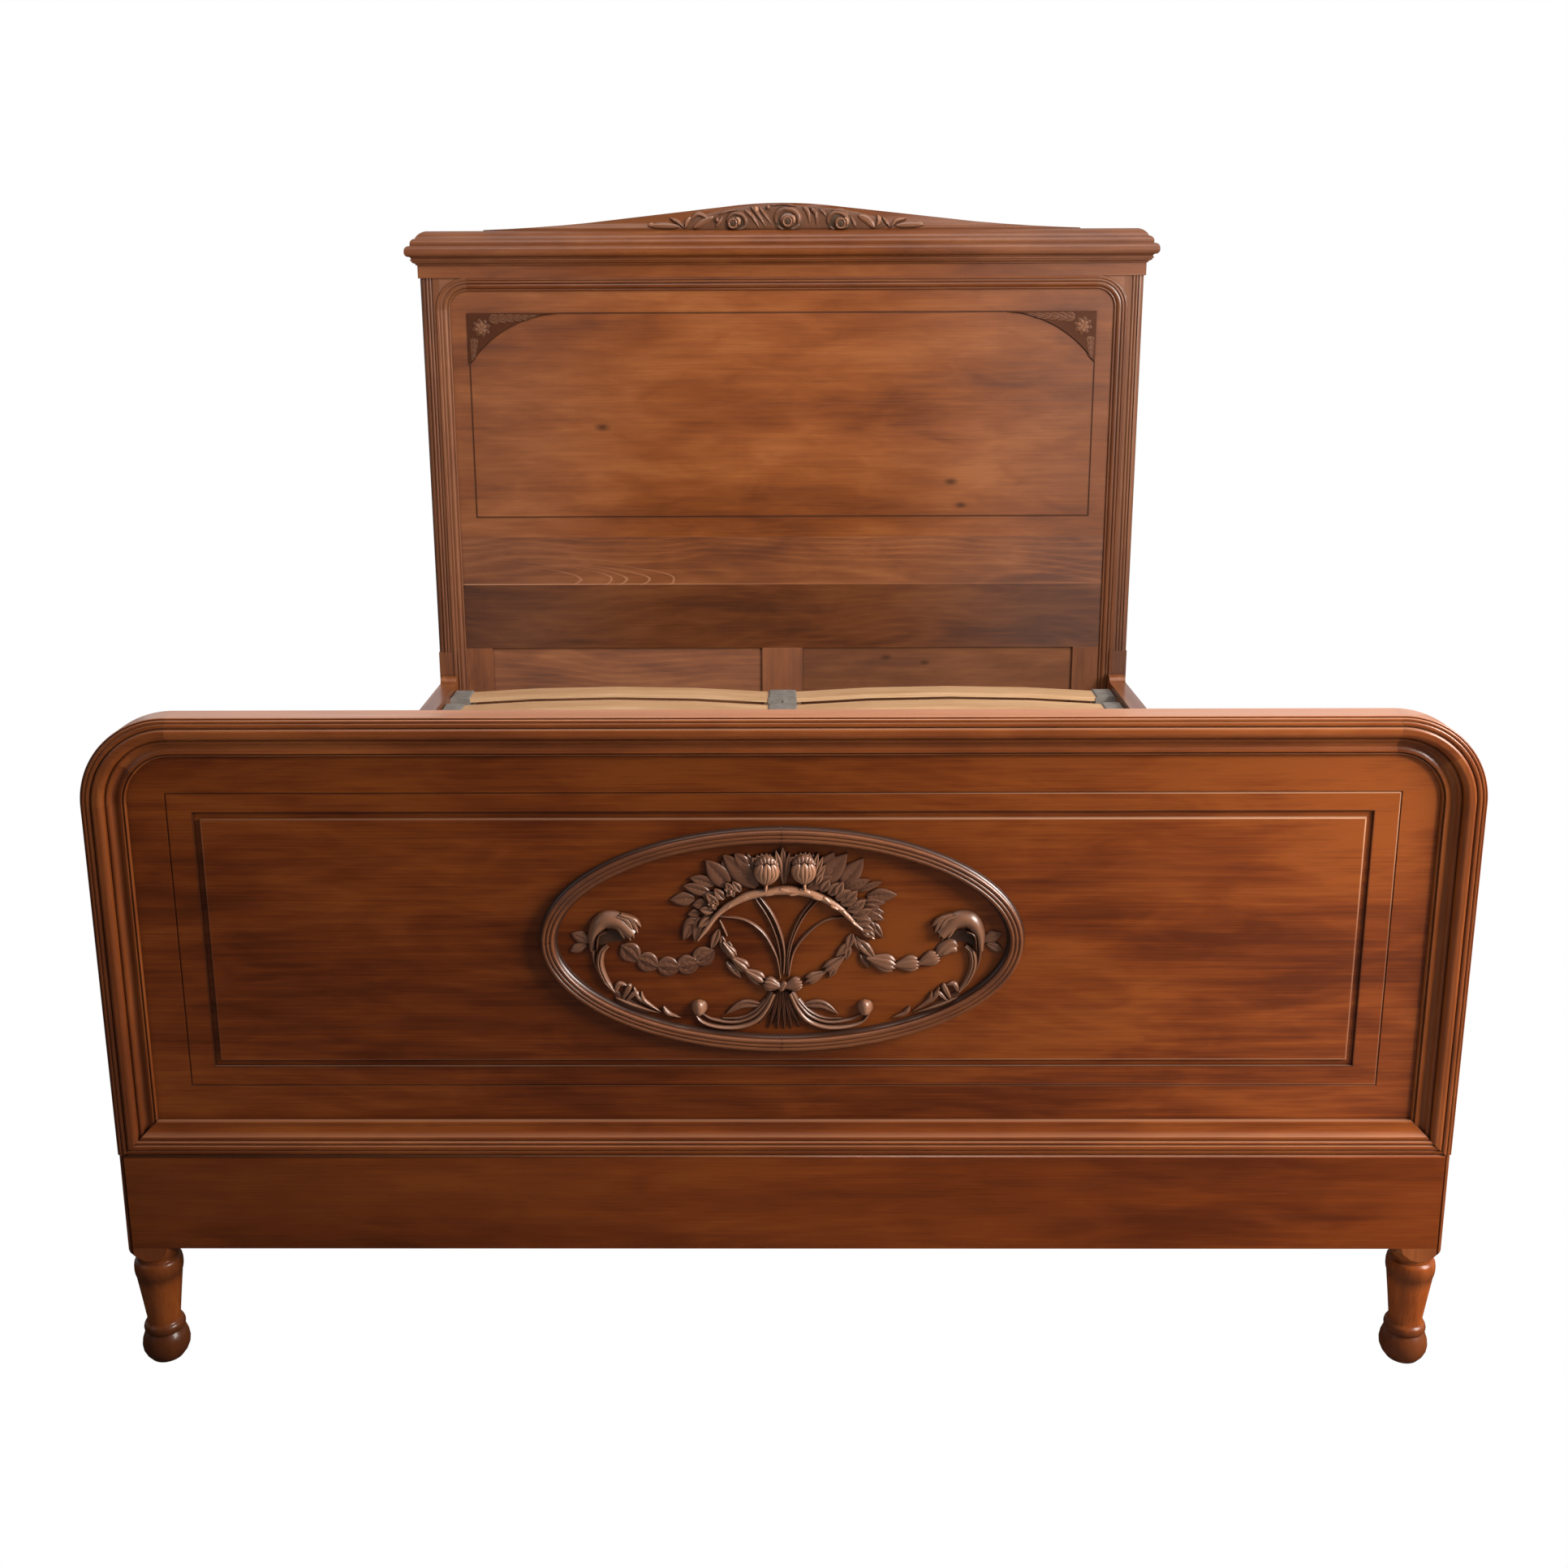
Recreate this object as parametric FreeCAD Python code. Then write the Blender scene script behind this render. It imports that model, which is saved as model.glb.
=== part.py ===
"""Double bed with a panelled, carved headboard and footboard, in millimetres.

X runs across the bed, Y from the foot to the head, Z up from the floor. The origin is on the floor, at
the middle of the bed's width and length. Depths of the footboard and headboard are measured back from
their own front planes, and widths in from the posts' outer faces.
"""
import FreeCAD, Part
import math
import os

Vector = FreeCAD.Vector
ORIGIN = Vector(0, 0, 0)
X_AXIS = Vector(1, 0, 0)
Y_AXIS = Vector(0, 1, 0)
Z_AXIS = Vector(0, 0, 1)

# Whole bed
overall_width = 1680.0
overall_length = 2132.4
overrun = 5.0

# Footboard heights
foot_height = 879.5
foot_corner_radius = 110.0
apron_bottom = 176.5
apron_top = 307.5
foot_rail_bottom = 190.0

# Footboard frame section
frame_face = 51.0
frame_relief = 17.0
frame_thickness = 38.0
groove_depth = 9.0
foot_panel_thickness = 12.0
panel_edge_clearance = 0.5
foot_post_side = 56.0
corner_joint_angle = 40.0
apron_thickness = 21.0
apron_setback = 1.0
apron_nosing = 3.0
foot_rail_back = 50.0

# The frame's moulding, from the outer face in: two reeds, then torus, fillet, cove and bead.
# Widths are shares of frame_face, depths of frame_relief.
reed_shares = [(0.0, 0.38), (0.02, 0.25), (0.08, 0.23), (0.10, 0.32), (0.13, 0.25), (0.16, 0.32)]
inner_shares = [
    (0.175, 0.165), (0.216, 0.044), (0.27, 0.0), (0.328, 0.044), (0.369, 0.165), (0.385, 0.32),
    (0.385, 0.43), (0.42, 0.43), (0.42, 0.27), (0.49, 0.27), (0.49, 0.42), (0.54, 0.42), (0.54, 0.34),
    (0.58, 0.53), (0.68, 0.69), (0.86, 0.77), (0.94, 0.77), (0.97, 0.70), (1.0, 0.77), (1.0, 1.0),
]

# Footboard panel: incised line and sunk channel, measured in from the panel's visible edge
line_inset = 46.0
line_width = 1.8
line_depth = 1.2
channel_side_inset = 78.0
channel_top_inset = 71.0
channel_bottom_inset = 73.0
channel_width = 8.5
channel_depth = 3.0

# Oval ring on the footboard panel
oval_half_width = 297.0
oval_top_gap = 88.5
oval_bottom_gap = 95.7
oval_break_angle = 40.0
ring_width = 21.5
ring_height = 13.0
# Widths are shares of ring_width from the outside in, heights shares of ring_height.
ring_shares = [(0.0, 0.0), (0.0, 0.48), (0.30, 0.98), (0.58, 0.98), (0.74, 0.48), (1.0, 0.0)]

# Turned foot
foot_turning_height = 155.0
foot_ball_radius = 30.0
foot_ball_height = 44.0
foot_astragal_radius = 26.0
foot_astragal_height = 13.0
foot_ankle_radius = 20.8
foot_ankle_height = 62.0
foot_shaft_radius = 28.5
foot_shaft_top = 126.0
foot_torus_radius = 30.4
foot_torus_height = 24.0
foot_neck_radius = 25.5
post_shoulder_height = 33.0
# Radii are shares of the member's radius, heights of its height.
ball_shares = [(0.55, 0.0), (1.0, 0.52), (0.80, 1.0)]
astragal_shares = [(1.0, 0.5)]
torus_shares = [(1.0, 0.25), (1.0, 0.75)]
# The post's shoulder, as shares of the way from the neck to the post's corner, and of its height
shoulder_shares = [(0.0, 0.0), (0.62, 0.38), (1.0, 1.0)]
spigot_radius = 11.0
spigot_length = 20.0
spigot_clearance = 0.2

# Headboard heights
cornice_top = 1471.5
cornice_height = 77.0
frieze_height = 29.0
head_opening_drop = 9.5
head_rail_height = 75.5
head_panel_bottom = 757.0
mid_rail_top = 640.0
mid_rail_bottom = 482.5
head_bottom_rail_top = 340.0
head_bottom_rail_bottom = 250.0
reed_stop_height = 475.0
leg_taper_top = 230.0

# Headboard frame
head_depth = 50.0
head_post_width = 66.0
head_flat_width = 46.0
rebate_depth = 32.0
head_board_face = 10.0
leg_foot_width = 50.0
leg_foot_depth = 42.0
head_corner_radius = 62.0
head_line_side_inset = 106.0
head_line_top_inset = 70.5
head_line_rise = 48.0
head_lower_stile_inset = 130.0
muntin_half_width = 49.0
lower_panel_setback = 6.0
lower_panel_thickness = 10.0
lower_panel_groove = 8.0

# The headboard post's reeds, as shares of head_flat_width across and of reed_relief deep
reed_relief = 12.0
head_reed_shares = [
    (0.0, 1.0), (0.035, 0.58), (0.12, 0.18), (0.26, 0.0), (0.26, 0.2), (0.29, 0.2), (0.33, 0.03),
    (0.41, 0.03), (0.445, 0.2), (0.48, 0.03), (0.56, 0.03), (0.60, 0.2), (0.65, 0.2), (0.65, 0.0),
]

# Applied moulding round the headboard panel
moulding_width = 20.0
moulding_proud = 2.0
moulding_foot = 372.0
# Widths are shares of moulding_width from the outside in, heights shares of its full height.
moulding_shares = [
    (0.0, 0.0), (0.0, 0.86), (0.10, 1.0), (0.20, 0.86), (0.20, 0.66), (0.34, 0.66), (0.48, 0.88),
    (0.68, 0.88), (0.88, 0.60), (1.0, 0.30), (1.0, 0.0),
]

# Frieze, cornice and crest
frieze_flare = 6.0
cornice_reach = 27.0
# Reaches are shares of cornice_reach out from the post's face, heights shares of the cornice's height.
# A pair of pairs is the middle and the end of an arc.
cornice_shares = [
    (0.22, 0.0), (0.26, 0.04), ((0.40, 0.17), (0.68, 0.24)), (0.68, 0.29), ((1.0, 0.43), (0.60, 0.59)),
    ((0.30, 0.78), (0.0, 0.84)), (-0.04, 0.84), ((-0.28, 0.953), (-0.66, 1.0)),
]
crest_rise = 60.0
crest_setback = 20.0
crest_thickness = 26.0
crest_end_inset = 150.0
crest_tip_height = 2.0
# Points of the crest's edge from tip to shoulder, as shares of its half length and rise.
crest_flare_share = (0.82, 0.13)
crest_inflection_share = (0.65, 0.28)
crest_shoulder_share = (0.19, 0.86)

# Corner carvings on the headboard panel
corner_arm_length = 212.0
corner_arm_drop = 118.0
corner_relief = 3.0
corner_hollow_share = (0.436, 0.292)

# Side rails
rail_setback = 6.0
rail_thickness = 38.5
rail_top = 403.5
rail_height = 150.0
rail_ear_rise = 13.0
rail_ear_length = 30.0
ledger_width = 40.0
ledger_height = 30.0

# Bed hooks on the rails and slotted keepers in the posts
hook_plate_width = 20.0
hook_plate_height = 110.0
hook_plate_thickness = 3.0
hook_thickness = 4.0
hook_reach = 9.0
hook_height = 22.0
hook_drop = 9.0
hook_offset = 26.0
hook_clearance = 0.3
keeper_slot_height = 34.0
keeper_slot_width = 5.0
keeper_pocket_depth = 14.0
keeper_pocket_width = 8.0
keeper_pocket_height = 106.0

# Slats and their holders
slat_width = 64.0
slat_thickness = 10.0
slat_top = 399.5
slat_rise = 14.5
slat_count = 16
slat_head_gap = 47.0
slat_foot_gap = 38.0
slat_bow_segments = 4
slat_outer_gap = 14.5
slat_inner_gap = 14.0
holder_depth = 70.0
holder_bottom = 362.0
holder_top = 390.0
holder_outer_length = 47.5
holder_centre_half_length = 34.0
holder_chamfer = 4.0
holder_slit_width = 2.4
holder_slit_top = 382.0

# Centre beam
beam_width = 70.0
beam_height = 60.0
beam_block_width = 90.0
beam_block_thickness = 22.0
beam_block_bottom = 285.0
beam_block_foot_top = 348.0
beam_seat_depth = 12.0
beam_leg_side = 45.0

# Tenons
tenon_length = 25.0
tenon_thickness = 11.0
tenon_shoulder = 18.0
tenon_clearance = 0.3
loose_tenon_length = 40.0
loose_tenon_thickness = 10.0
loose_tenon_width = 22.0
loose_tenon_inset = 12.0
loose_tenon_setback = 19.0

# Relief inside the oval. Places are shares, across and up from its centre, of the half width and half
# height of the field inside the ring. Widths, bellies and radii are shares of the field's half height.
wreath_side_share = (0.316, 0.096)
wreath_top_share = (0.0, 0.550)
wreath_bulge_share = (0.254, -0.215)
wreath_foot_share = (0.058, -0.446)
wreath_width_share = 0.096
wreath_rise = 6.0
bud_share = (0.080, 0.717)
bud_reach_share = (0.0, 0.167)
bud_belly_share = 0.128
bud_rise = 11.0
side_bud_share = (0.759, 0.175)
side_bud_reach_share = (0.095, 0.048)
side_bud_belly_share = 0.135
scroll_ball_share = (0.374, -0.709)
scroll_ball_radius_share = 0.080
scroll_low_share = (0.225, -0.932)
scroll_width_share = 0.064
scroll_rise = 4.5
tie_share = (0.0, -0.462)
tie_reach_share = (0.080, 0.096)
tie_rise = 10.0
stem_top_share = (0.130, 0.446)
stem_bend_share = (0.037, -0.064)
stem_width_share = 0.048
stem_rise = 4.0
swag_low_share = (0.508, -0.247)
swag_width_share = 0.104
swag_rise = 6.0
side_stem_bend_share = (0.805, -0.175)
side_stem_foot_share = (0.748, -0.478)
side_leaf_tip_share = (0.501, -0.765)
side_leaf_belly_share = 0.120
fan_share = (0.0, -0.940)
fan_belly_share = 0.128
fan_relief = 7.0
relief_segments = 6
# Points along a carved leaf's edge, as shares of its length and of its belly
leaf_edge_shares = [(0.30, 0.90), (0.62, 0.82)]

# Relief on the crest. Its shares are of the crest's half length and rise.
rose_radius = 17.0
rose_rise = 11.0
rose_sides = 10
rose_spacing_share = 0.165
rose_height_share = 0.45
crest_leaf_reach_share = 0.461
crest_leaf_foot_share = 0.067
crest_leaf_relief = 6.0
crest_leaf_belly = 13.0

half_width = overall_width / 2
foot_proud = foot_torus_radius - foot_post_side / 2
foot_front = -overall_length / 2 + foot_proud
foot_back = foot_front + foot_post_side
head_front = overall_length / 2 - head_depth
reed_width = frame_face * reed_shares[-1][0]
springing = foot_height - foot_corner_radius
panel_bottom = apron_top + frame_face - reed_width
groove_foot = panel_bottom - groove_depth
oval_top = foot_height - frame_face - oval_top_gap
oval_bottom = panel_bottom + oval_bottom_gap
oval_half_height = (oval_top - oval_bottom) / 2
field_half_width = oval_half_width - ring_width
field_half_height = oval_half_height - ring_width
oval_centre_height = (oval_top + oval_bottom) / 2
panel_back = frame_relief + foot_panel_thickness
panel_plane = foot_front + frame_relief
apron_back = apron_setback + apron_thickness
head_board_plane = head_front + head_board_face
rail_bottom = rail_top - rail_height
rail_outer = half_width - rail_setback
rail_inner = rail_outer - rail_thickness
rail_middle = (rail_outer + rail_inner) / 2
beam_top = holder_bottom
frieze_top = cornice_top - cornice_height
head_post_top = frieze_top - frieze_height
head_opening_top = head_post_top - head_opening_drop
head_rail_back_bottom = head_post_top - head_rail_height
head_corner_height = head_opening_top - head_corner_radius
head_line_half_width = half_width - head_line_side_inset
head_line_bottom = head_panel_bottom + head_line_rise
head_line_top = head_opening_top - head_line_top_inset
head_lower_stile_face = half_width - head_lower_stile_inset
crest_half_length = half_width - crest_end_inset
slat_run = head_front - foot_back - slat_head_gap - slat_foot_gap - slat_width
slat_pitch = slat_run / (slat_count - 1)


def block(x0, x1, y0, y1, z0, z1):
    """Box between two corners."""
    return Part.makeBox(x1 - x0, y1 - y0, z1 - z0, Vector(x0, y0, z0))


def mirrored(shape):
    """The same shape on the other side of the bed's middle plane."""
    return shape.mirror(ORIGIN, X_AXIS)


def both_sides(shape):
    """A shape joined with its mirror image."""
    return shape.fuse(mirrored(shape))


def group(shapes):
    """Separate solids that share a node."""
    return Part.makeCompound([solid for shape in shapes for solid in shape.Solids])


def pair(shape):
    """A left solid and its mirror image as one node."""
    return group([shape, mirrored(shape)])


def scaled(steps, wide, deep):
    """Steps of an outline, given as shares, at their real size."""
    real = []
    for step in steps:
        if isinstance(step[0], tuple):
            real.append(tuple((across * wide, along * deep) for across, along in step))
        else:
            real.append((step[0] * wide, step[1] * deep))
    return real


def edges_from(place, start, steps):
    """Edges through the steps. A step is a line's end, or an arc's middle and end."""
    edges = []
    here = start
    for step in steps:
        if isinstance(step[0], tuple):
            middle, end = step
            edges.append(Part.Arc(place(*here), place(*middle), place(*end)).toShape())
        else:
            end = step
            edges.append(Part.LineSegment(place(*here), place(*end)).toShape())
        here = end
    return edges


def face_from(place, start, steps):
    """Flat face inside the outline that the steps draw, closed by a line back to its start."""
    last = steps[-1]
    end = last[1] if isinstance(last[0], tuple) else last
    closing = [] if end == start else [start]
    return Part.Face(Part.Wire(edges_from(place, start, steps + closing)))


def quarter(centre, radius, across, along):
    """Middle of a quarter arc about a centre, towards the side that the two signs give."""
    reach = radius * math.sqrt(0.5)
    return (centre[0] + across * reach, centre[1] + along * reach)


def in_plan(height):
    """Places points given as X and Y on a level plane."""
    return lambda x, y: Vector(x, y, height)


def facing(depth):
    """Places points given as X and Z on an upright plane across the bed."""
    return lambda x, z: Vector(x, depth, z)


def sideways(across):
    """Places points given as Y and Z on an upright plane along the bed."""
    return lambda y, z: Vector(across, y, z)


def turned(outline, centre_x, centre_y, start):
    """Solid of revolution from an outline given as radius and height."""
    face = face_from(lambda r, z: Vector(centre_x + r, centre_y, z), start, outline)
    return face.revolve(Vector(centre_x, centre_y, 0), Z_AXIS, 360)


def rounded_panel(half_span, low, high, radius, near, thickness):
    """Upright panel with two rounded upper corners."""
    left = (-half_span + radius, high - radius)
    right = (half_span - radius, high - radius)
    steps = [
        (-half_span, high - radius),
        (quarter(left, radius, -1, 1), (-half_span + radius, high)),
        (half_span - radius, high),
        (quarter(right, radius, 1, 1), (half_span, high - radius)),
        (half_span, low),
    ]
    return face_from(facing(near), (-half_span, low), steps).extrude(Y_AXIS * thickness)


def sunk_frame(half_span, low, high, width, depth):
    """Cutter for a rectangular groove in the footboard panel."""
    near = panel_plane - overrun
    far = panel_plane + depth
    outer = block(-half_span, half_span, near, far, low, high)
    inner = block(-half_span + width, half_span - width, near, far, low + width, high - width)
    return outer.cut(inner)


def frame_section():
    """Start and steps of the footboard frame's section, with the groove for the panel."""
    real = scaled(reed_shares + inner_shares, frame_face, frame_relief)
    groove = frame_face - groove_depth
    back = [
        (groove, frame_relief), (groove, panel_back), (frame_face, panel_back),
        (frame_face, frame_thickness), (0.0, frame_thickness),
    ]
    return real[0], real[1:] + back


def on_foot_post(height):
    """Places width and depth on the left side of the footboard."""
    return lambda across, depth: Vector(-half_width + across, foot_front + depth, height)


def frame_tenons(clearance):
    """Left-hand loose tenons between post, corner blocks and top rail, or with a clearance their mortises."""
    centre = Vector(-half_width + foot_corner_radius, 0, springing)
    inset = -half_width + loose_tenon_inset
    near = foot_front + loose_tenon_setback
    tenon = block(inset - clearance, inset + loose_tenon_width + clearance,
                  near - clearance, near + loose_tenon_thickness + clearance,
                  springing - loose_tenon_length / 2 - clearance,
                  springing + loose_tenon_length / 2 + clearance)
    tenons = []
    for angle in (0.0, corner_joint_angle, 90.0):
        turned_tenon = tenon.copy()
        turned_tenon.rotate(centre, Y_AXIS, angle)
        tenons.append(turned_tenon)
    return tenons


def foot_mitre(depth):
    """Wedge below the 45 degree line from the apron's corner to the panel's corner."""
    steps = [
        (-half_width + frame_face + overrun, panel_bottom + overrun),
        (-half_width + frame_face + overrun, apron_top - overrun),
        (-half_width + reed_width, apron_top - overrun),
    ]
    wedge = face_from(facing(foot_front - overrun), (-half_width + reed_width, apron_top), steps)
    return wedge.extrude(Y_AXIS * (overrun + depth))


def shoulder_cutter():
    """What is turned away from the square post's lower end."""
    centre = foot_post_side / 2
    corner = centre * math.sqrt(2)
    top = foot_turning_height + post_shoulder_height
    steps = [
        (foot_neck_radius + (corner - foot_neck_radius) * out,
         foot_turning_height + post_shoulder_height * up)
        for out, up in shoulder_shares
    ]
    steps.append((0.0, top))
    kept = turned(steps, -half_width + centre, foot_front + centre, (0.0, foot_turning_height))
    around = block(-half_width - overrun, -half_width + foot_post_side + overrun, foot_front - overrun,
                   foot_back + overrun, foot_turning_height - overrun, top)
    return around.cut(kept)


def foot_rail_tenon(clearance):
    """Left tenon of the footboard's bottom rail, or with a clearance its mortise."""
    inner = -half_width + foot_post_side
    return block(inner - tenon_length - clearance, inner + clearance,
                 foot_front + frame_thickness - tenon_thickness - clearance,
                 foot_front + frame_thickness + clearance,
                 foot_rail_bottom + tenon_shoulder - clearance,
                 panel_bottom - tenon_shoulder + clearance)


def foot_spigot(clearance):
    """Spigot on top of the turned foot, or with a clearance its socket."""
    centre = foot_post_side / 2
    return Part.makeCylinder(
        spigot_radius + clearance, spigot_length + clearance,
        Vector(-half_width + centre, foot_front + centre, foot_turning_height), Z_AXIS)


def foot_post():
    """Left post: moulded face above the apron, reeds beside it, square behind, turned in at its foot."""
    start, steps = frame_section()
    moulded = face_from(on_foot_post(apron_top), start, steps).extrude(Z_AXIS * (springing - apron_top))
    moulded = moulded.cut(foot_mitre(frame_relief))
    reeds = scaled(reed_shares, frame_face, frame_relief)
    strip_steps = reeds[1:] + [(reed_width, apron_back), (0.0, apron_back)]
    strip = face_from(on_foot_post(foot_turning_height), reeds[0], strip_steps)
    strip = strip.extrude(Z_AXIS * (apron_top - foot_turning_height))
    inner = -half_width + foot_post_side
    core = block(-half_width, inner, foot_front + apron_back, foot_front + frame_thickness,
                 foot_turning_height, apron_top)
    toe = block(-half_width + reed_width, inner, foot_front + apron_setback, foot_front + apron_back,
                foot_turning_height, apron_bottom)
    rail_seat = block(-half_width + frame_face - groove_depth, inner, foot_front + frame_relief,
                      foot_front + frame_thickness, apron_top, groove_foot)
    radius = foot_post_side - frame_thickness
    centre = (foot_front + frame_thickness, springing - radius)
    steps = [
        (foot_back, foot_turning_height), (foot_back, springing - radius),
        (quarter(centre, radius, 1, 1), (foot_front + frame_thickness, springing)),
    ]
    rear = face_from(sideways(-half_width), (foot_front + frame_thickness, foot_turning_height), steps)
    rear = rear.extrude(X_AXIS * foot_post_side)
    post = moulded.fuse([strip, core, toe, rail_seat, rear]).removeSplitter()
    post = post.cut(shoulder_cutter()).cut(foot_rail_tenon(tenon_clearance))
    post = post.cut(foot_spigot(spigot_clearance)).cut(frame_tenons(tenon_clearance)[0])
    return post.cut(keeper_pocket())


def turned_foot():
    """Left front foot: ball, astragal, tapered shaft, torus and neck, with a spigot on top."""
    centre = foot_post_side / 2
    members = [
        (ball_shares, foot_ball_radius, 0.0, foot_ball_height),
        (astragal_shares, foot_astragal_radius, foot_ball_height, foot_astragal_height),
        ([(1.0, 1.0)], foot_ankle_radius, 0.0, foot_ankle_height),
        ([(1.0, 1.0)], foot_shaft_radius, 0.0, foot_shaft_top),
        (torus_shares, foot_torus_radius, foot_shaft_top, foot_torus_height),
        ([(1.0, 1.0)], foot_neck_radius, 0.0, foot_turning_height),
    ]
    circles = []
    for shares, radius, bottom, height in members:
        for out, up in scaled(shares, radius, height):
            level = Vector(-half_width + centre, foot_front + centre, bottom + up)
            circles.append(Part.Wire(Part.makeCircle(out, level, Z_AXIS)))
    foot = Part.makeLoft(circles, True, True)
    return foot.fuse(foot_spigot(0.0)).removeSplitter()


def corner_block(from_angle, to_angle):
    """Part of the left upper corner, turned about the corner's centre from the post towards the rail."""
    start, steps = frame_section()
    section = face_from(on_foot_post(springing), start, steps)
    centre = Vector(-half_width + foot_corner_radius, foot_front, springing)
    section.rotate(centre, Y_AXIS, from_angle)
    corner = section.revolve(centre, Y_AXIS, to_angle - from_angle)
    for mortise in frame_tenons(tenon_clearance):
        corner = corner.cut(mortise)
    return corner


def foot_top_rail():
    """Straight top rail between the two corners."""
    reach = half_width - foot_corner_radius
    start, steps = frame_section()
    place = lambda across, depth: Vector(-reach, foot_front + depth, foot_height - across)
    rail = face_from(place, start, steps).extrude(X_AXIS * (2 * reach))
    mortise = frame_tenons(tenon_clearance)[-1]
    return rail.cut(mortise).cut(mirrored(mortise))


def foot_base_moulding():
    """Moulding between the apron and the panel, mitred into both posts."""
    reach = half_width - reed_width
    start = (reed_width, frame_relief * reed_shares[-1][1])
    steps = scaled(inner_shares, frame_face, frame_relief) + [(reed_width, frame_relief)]
    place = lambda across, depth: Vector(-reach, foot_front + depth, apron_top + across - reed_width)
    moulding = face_from(place, start, steps).extrude(X_AXIS * (2 * reach))
    steps = [
        (-half_width + frame_face + overrun, panel_bottom + overrun),
        (-reach - overrun, panel_bottom + overrun),
    ]
    above = face_from(facing(foot_front - overrun), (-reach - overrun, apron_top - overrun), steps)
    above = above.extrude(Y_AXIS * (2 * overrun + frame_relief))
    return moulding.cut(above).cut(mirrored(above))


def foot_apron():
    """Plain board below the base moulding, with a small nosing along its top."""
    reach = half_width - reed_width
    face = foot_front + apron_setback
    back = foot_front + apron_back
    centre = (face + apron_nosing, apron_top - apron_nosing)
    steps = [
        (face, apron_top - apron_nosing),
        (quarter(centre, apron_nosing, -1, 1), (face + apron_nosing, apron_top)),
        (back, apron_top), (back, apron_bottom),
    ]
    return face_from(sideways(-reach), (face, apron_bottom), steps).extrude(X_AXIS * (2 * reach))


def foot_bottom_rail():
    """Structural rail behind the apron and base moulding, tenoned into the posts."""
    reach = half_width - foot_post_side
    back = foot_front + foot_rail_back
    steps = [
        (foot_front + apron_back, apron_top), (panel_plane, apron_top), (panel_plane, groove_foot),
        (foot_front + panel_back, groove_foot), (foot_front + panel_back, panel_bottom),
        (back, panel_bottom), (back, foot_rail_bottom),
    ]
    start = (foot_front + apron_back, foot_rail_bottom)
    rail = face_from(sideways(-reach), start, steps).extrude(X_AXIS * (2 * reach))
    return rail.fuse(both_sides(foot_rail_tenon(0.0))).removeSplitter()


def foot_panel():
    """Wide panel with an incised line and a sunk channel, held in the frame's groove."""
    edge = frame_face - groove_depth + panel_edge_clearance
    panel = rounded_panel(half_width - edge, groove_foot + panel_edge_clearance, foot_height - edge,
                          foot_corner_radius - edge, panel_plane, foot_panel_thickness)
    side = half_width - frame_face
    top = foot_height - frame_face
    panel = panel.cut(sunk_frame(side - line_inset, panel_bottom + line_inset, top - line_inset,
                                 line_width, line_depth))
    return panel.cut(sunk_frame(side - channel_side_inset, panel_bottom + channel_bottom_inset,
                                top - channel_top_inset, channel_width, channel_depth))


def arc_from_tangent(start, tangent, end):
    """Middle of the arc that leaves a point along a tangent and reaches another."""
    normal = (-tangent[1], tangent[0])
    chord = (end[0] - start[0], end[1] - start[1])
    reach = (chord[0] ** 2 + chord[1] ** 2) / (2 * (normal[0] * chord[0] + normal[1] * chord[1]))
    centre = (start[0] + normal[0] * reach, start[1] + normal[1] * reach)
    out = (start[0] + chord[0] / 2 - centre[0], start[1] + chord[1] / 2 - centre[1])
    length = math.hypot(*out)
    return (centre[0] + out[0] / length * abs(reach), centre[1] + out[1] / length * abs(reach))


def oval_span(from_angle, to_angle):
    """Two tangent arcs that follow the oval between two of its angles."""
    points = []
    tangents = []
    for angle in (from_angle, to_angle):
        turn = math.radians(angle)
        points.append((oval_half_width * math.cos(turn), oval_half_height * math.sin(turn)))
        run = (-oval_half_width * math.sin(turn), oval_half_height * math.cos(turn))
        length = math.hypot(*run)
        tangents.append((run[0] / length, run[1] / length))
    chord = (points[1][0] - points[0][0], points[1][1] - points[0][1])
    total = (tangents[0][0] + tangents[1][0], tangents[0][1] + tangents[1][1])
    lean = 2 * (1 - tangents[0][0] * tangents[1][0] - tangents[0][1] * tangents[1][1])
    along = chord[0] * total[0] + chord[1] * total[1]
    length = (-along + math.sqrt(along ** 2 + lean * (chord[0] ** 2 + chord[1] ** 2))) / lean
    joint = tuple((points[0][k] + points[1][k] + length * (tangents[0][k] - tangents[1][k])) / 2
                  for k in (0, 1))
    back = (-tangents[1][0], -tangents[1][1])
    first = arc_from_tangent(points[0], tangents[0], joint)
    second = arc_from_tangent(points[1], back, joint)
    return points[0], [(first, joint), (second, points[1])]


def medallion_ring():
    """Four moulded segments of the oval ring, swept along arcs and jointed at its four ends."""
    start, steps = oval_span(0.0, oval_break_angle)
    steps = steps + oval_span(oval_break_angle, 90.0)[1]
    path = Part.Wire(edges_from(on_oval, start, steps))
    real = scaled(ring_shares, ring_width, ring_height)
    across = lambda inward, rise: Vector(oval_half_width - inward, panel_plane - rise, oval_centre_height)
    profile = Part.Wire(edges_from(across, real[0], real[1:] + [real[0]]))
    sweep = Part.BRepOffsetAPI.MakePipeShell(path)
    sweep.setBiNormalMode(Y_AXIS)
    sweep.add(profile)
    sweep.build()
    sweep.makeSolid()
    upper_right = sweep.shape()
    centre = Vector(0, 0, oval_centre_height)
    lower_right = upper_right.mirror(centre, Z_AXIS)
    return group([upper_right, lower_right, mirrored(upper_right), mirrored(lower_right)])


def prism(points, relief):
    """Solid standing out from an upright plane by its relief, inside the outline through the points."""
    return Part.Face(Part.makePolygon(points + points[:1])).extrude(-Y_AXIS * relief)


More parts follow.
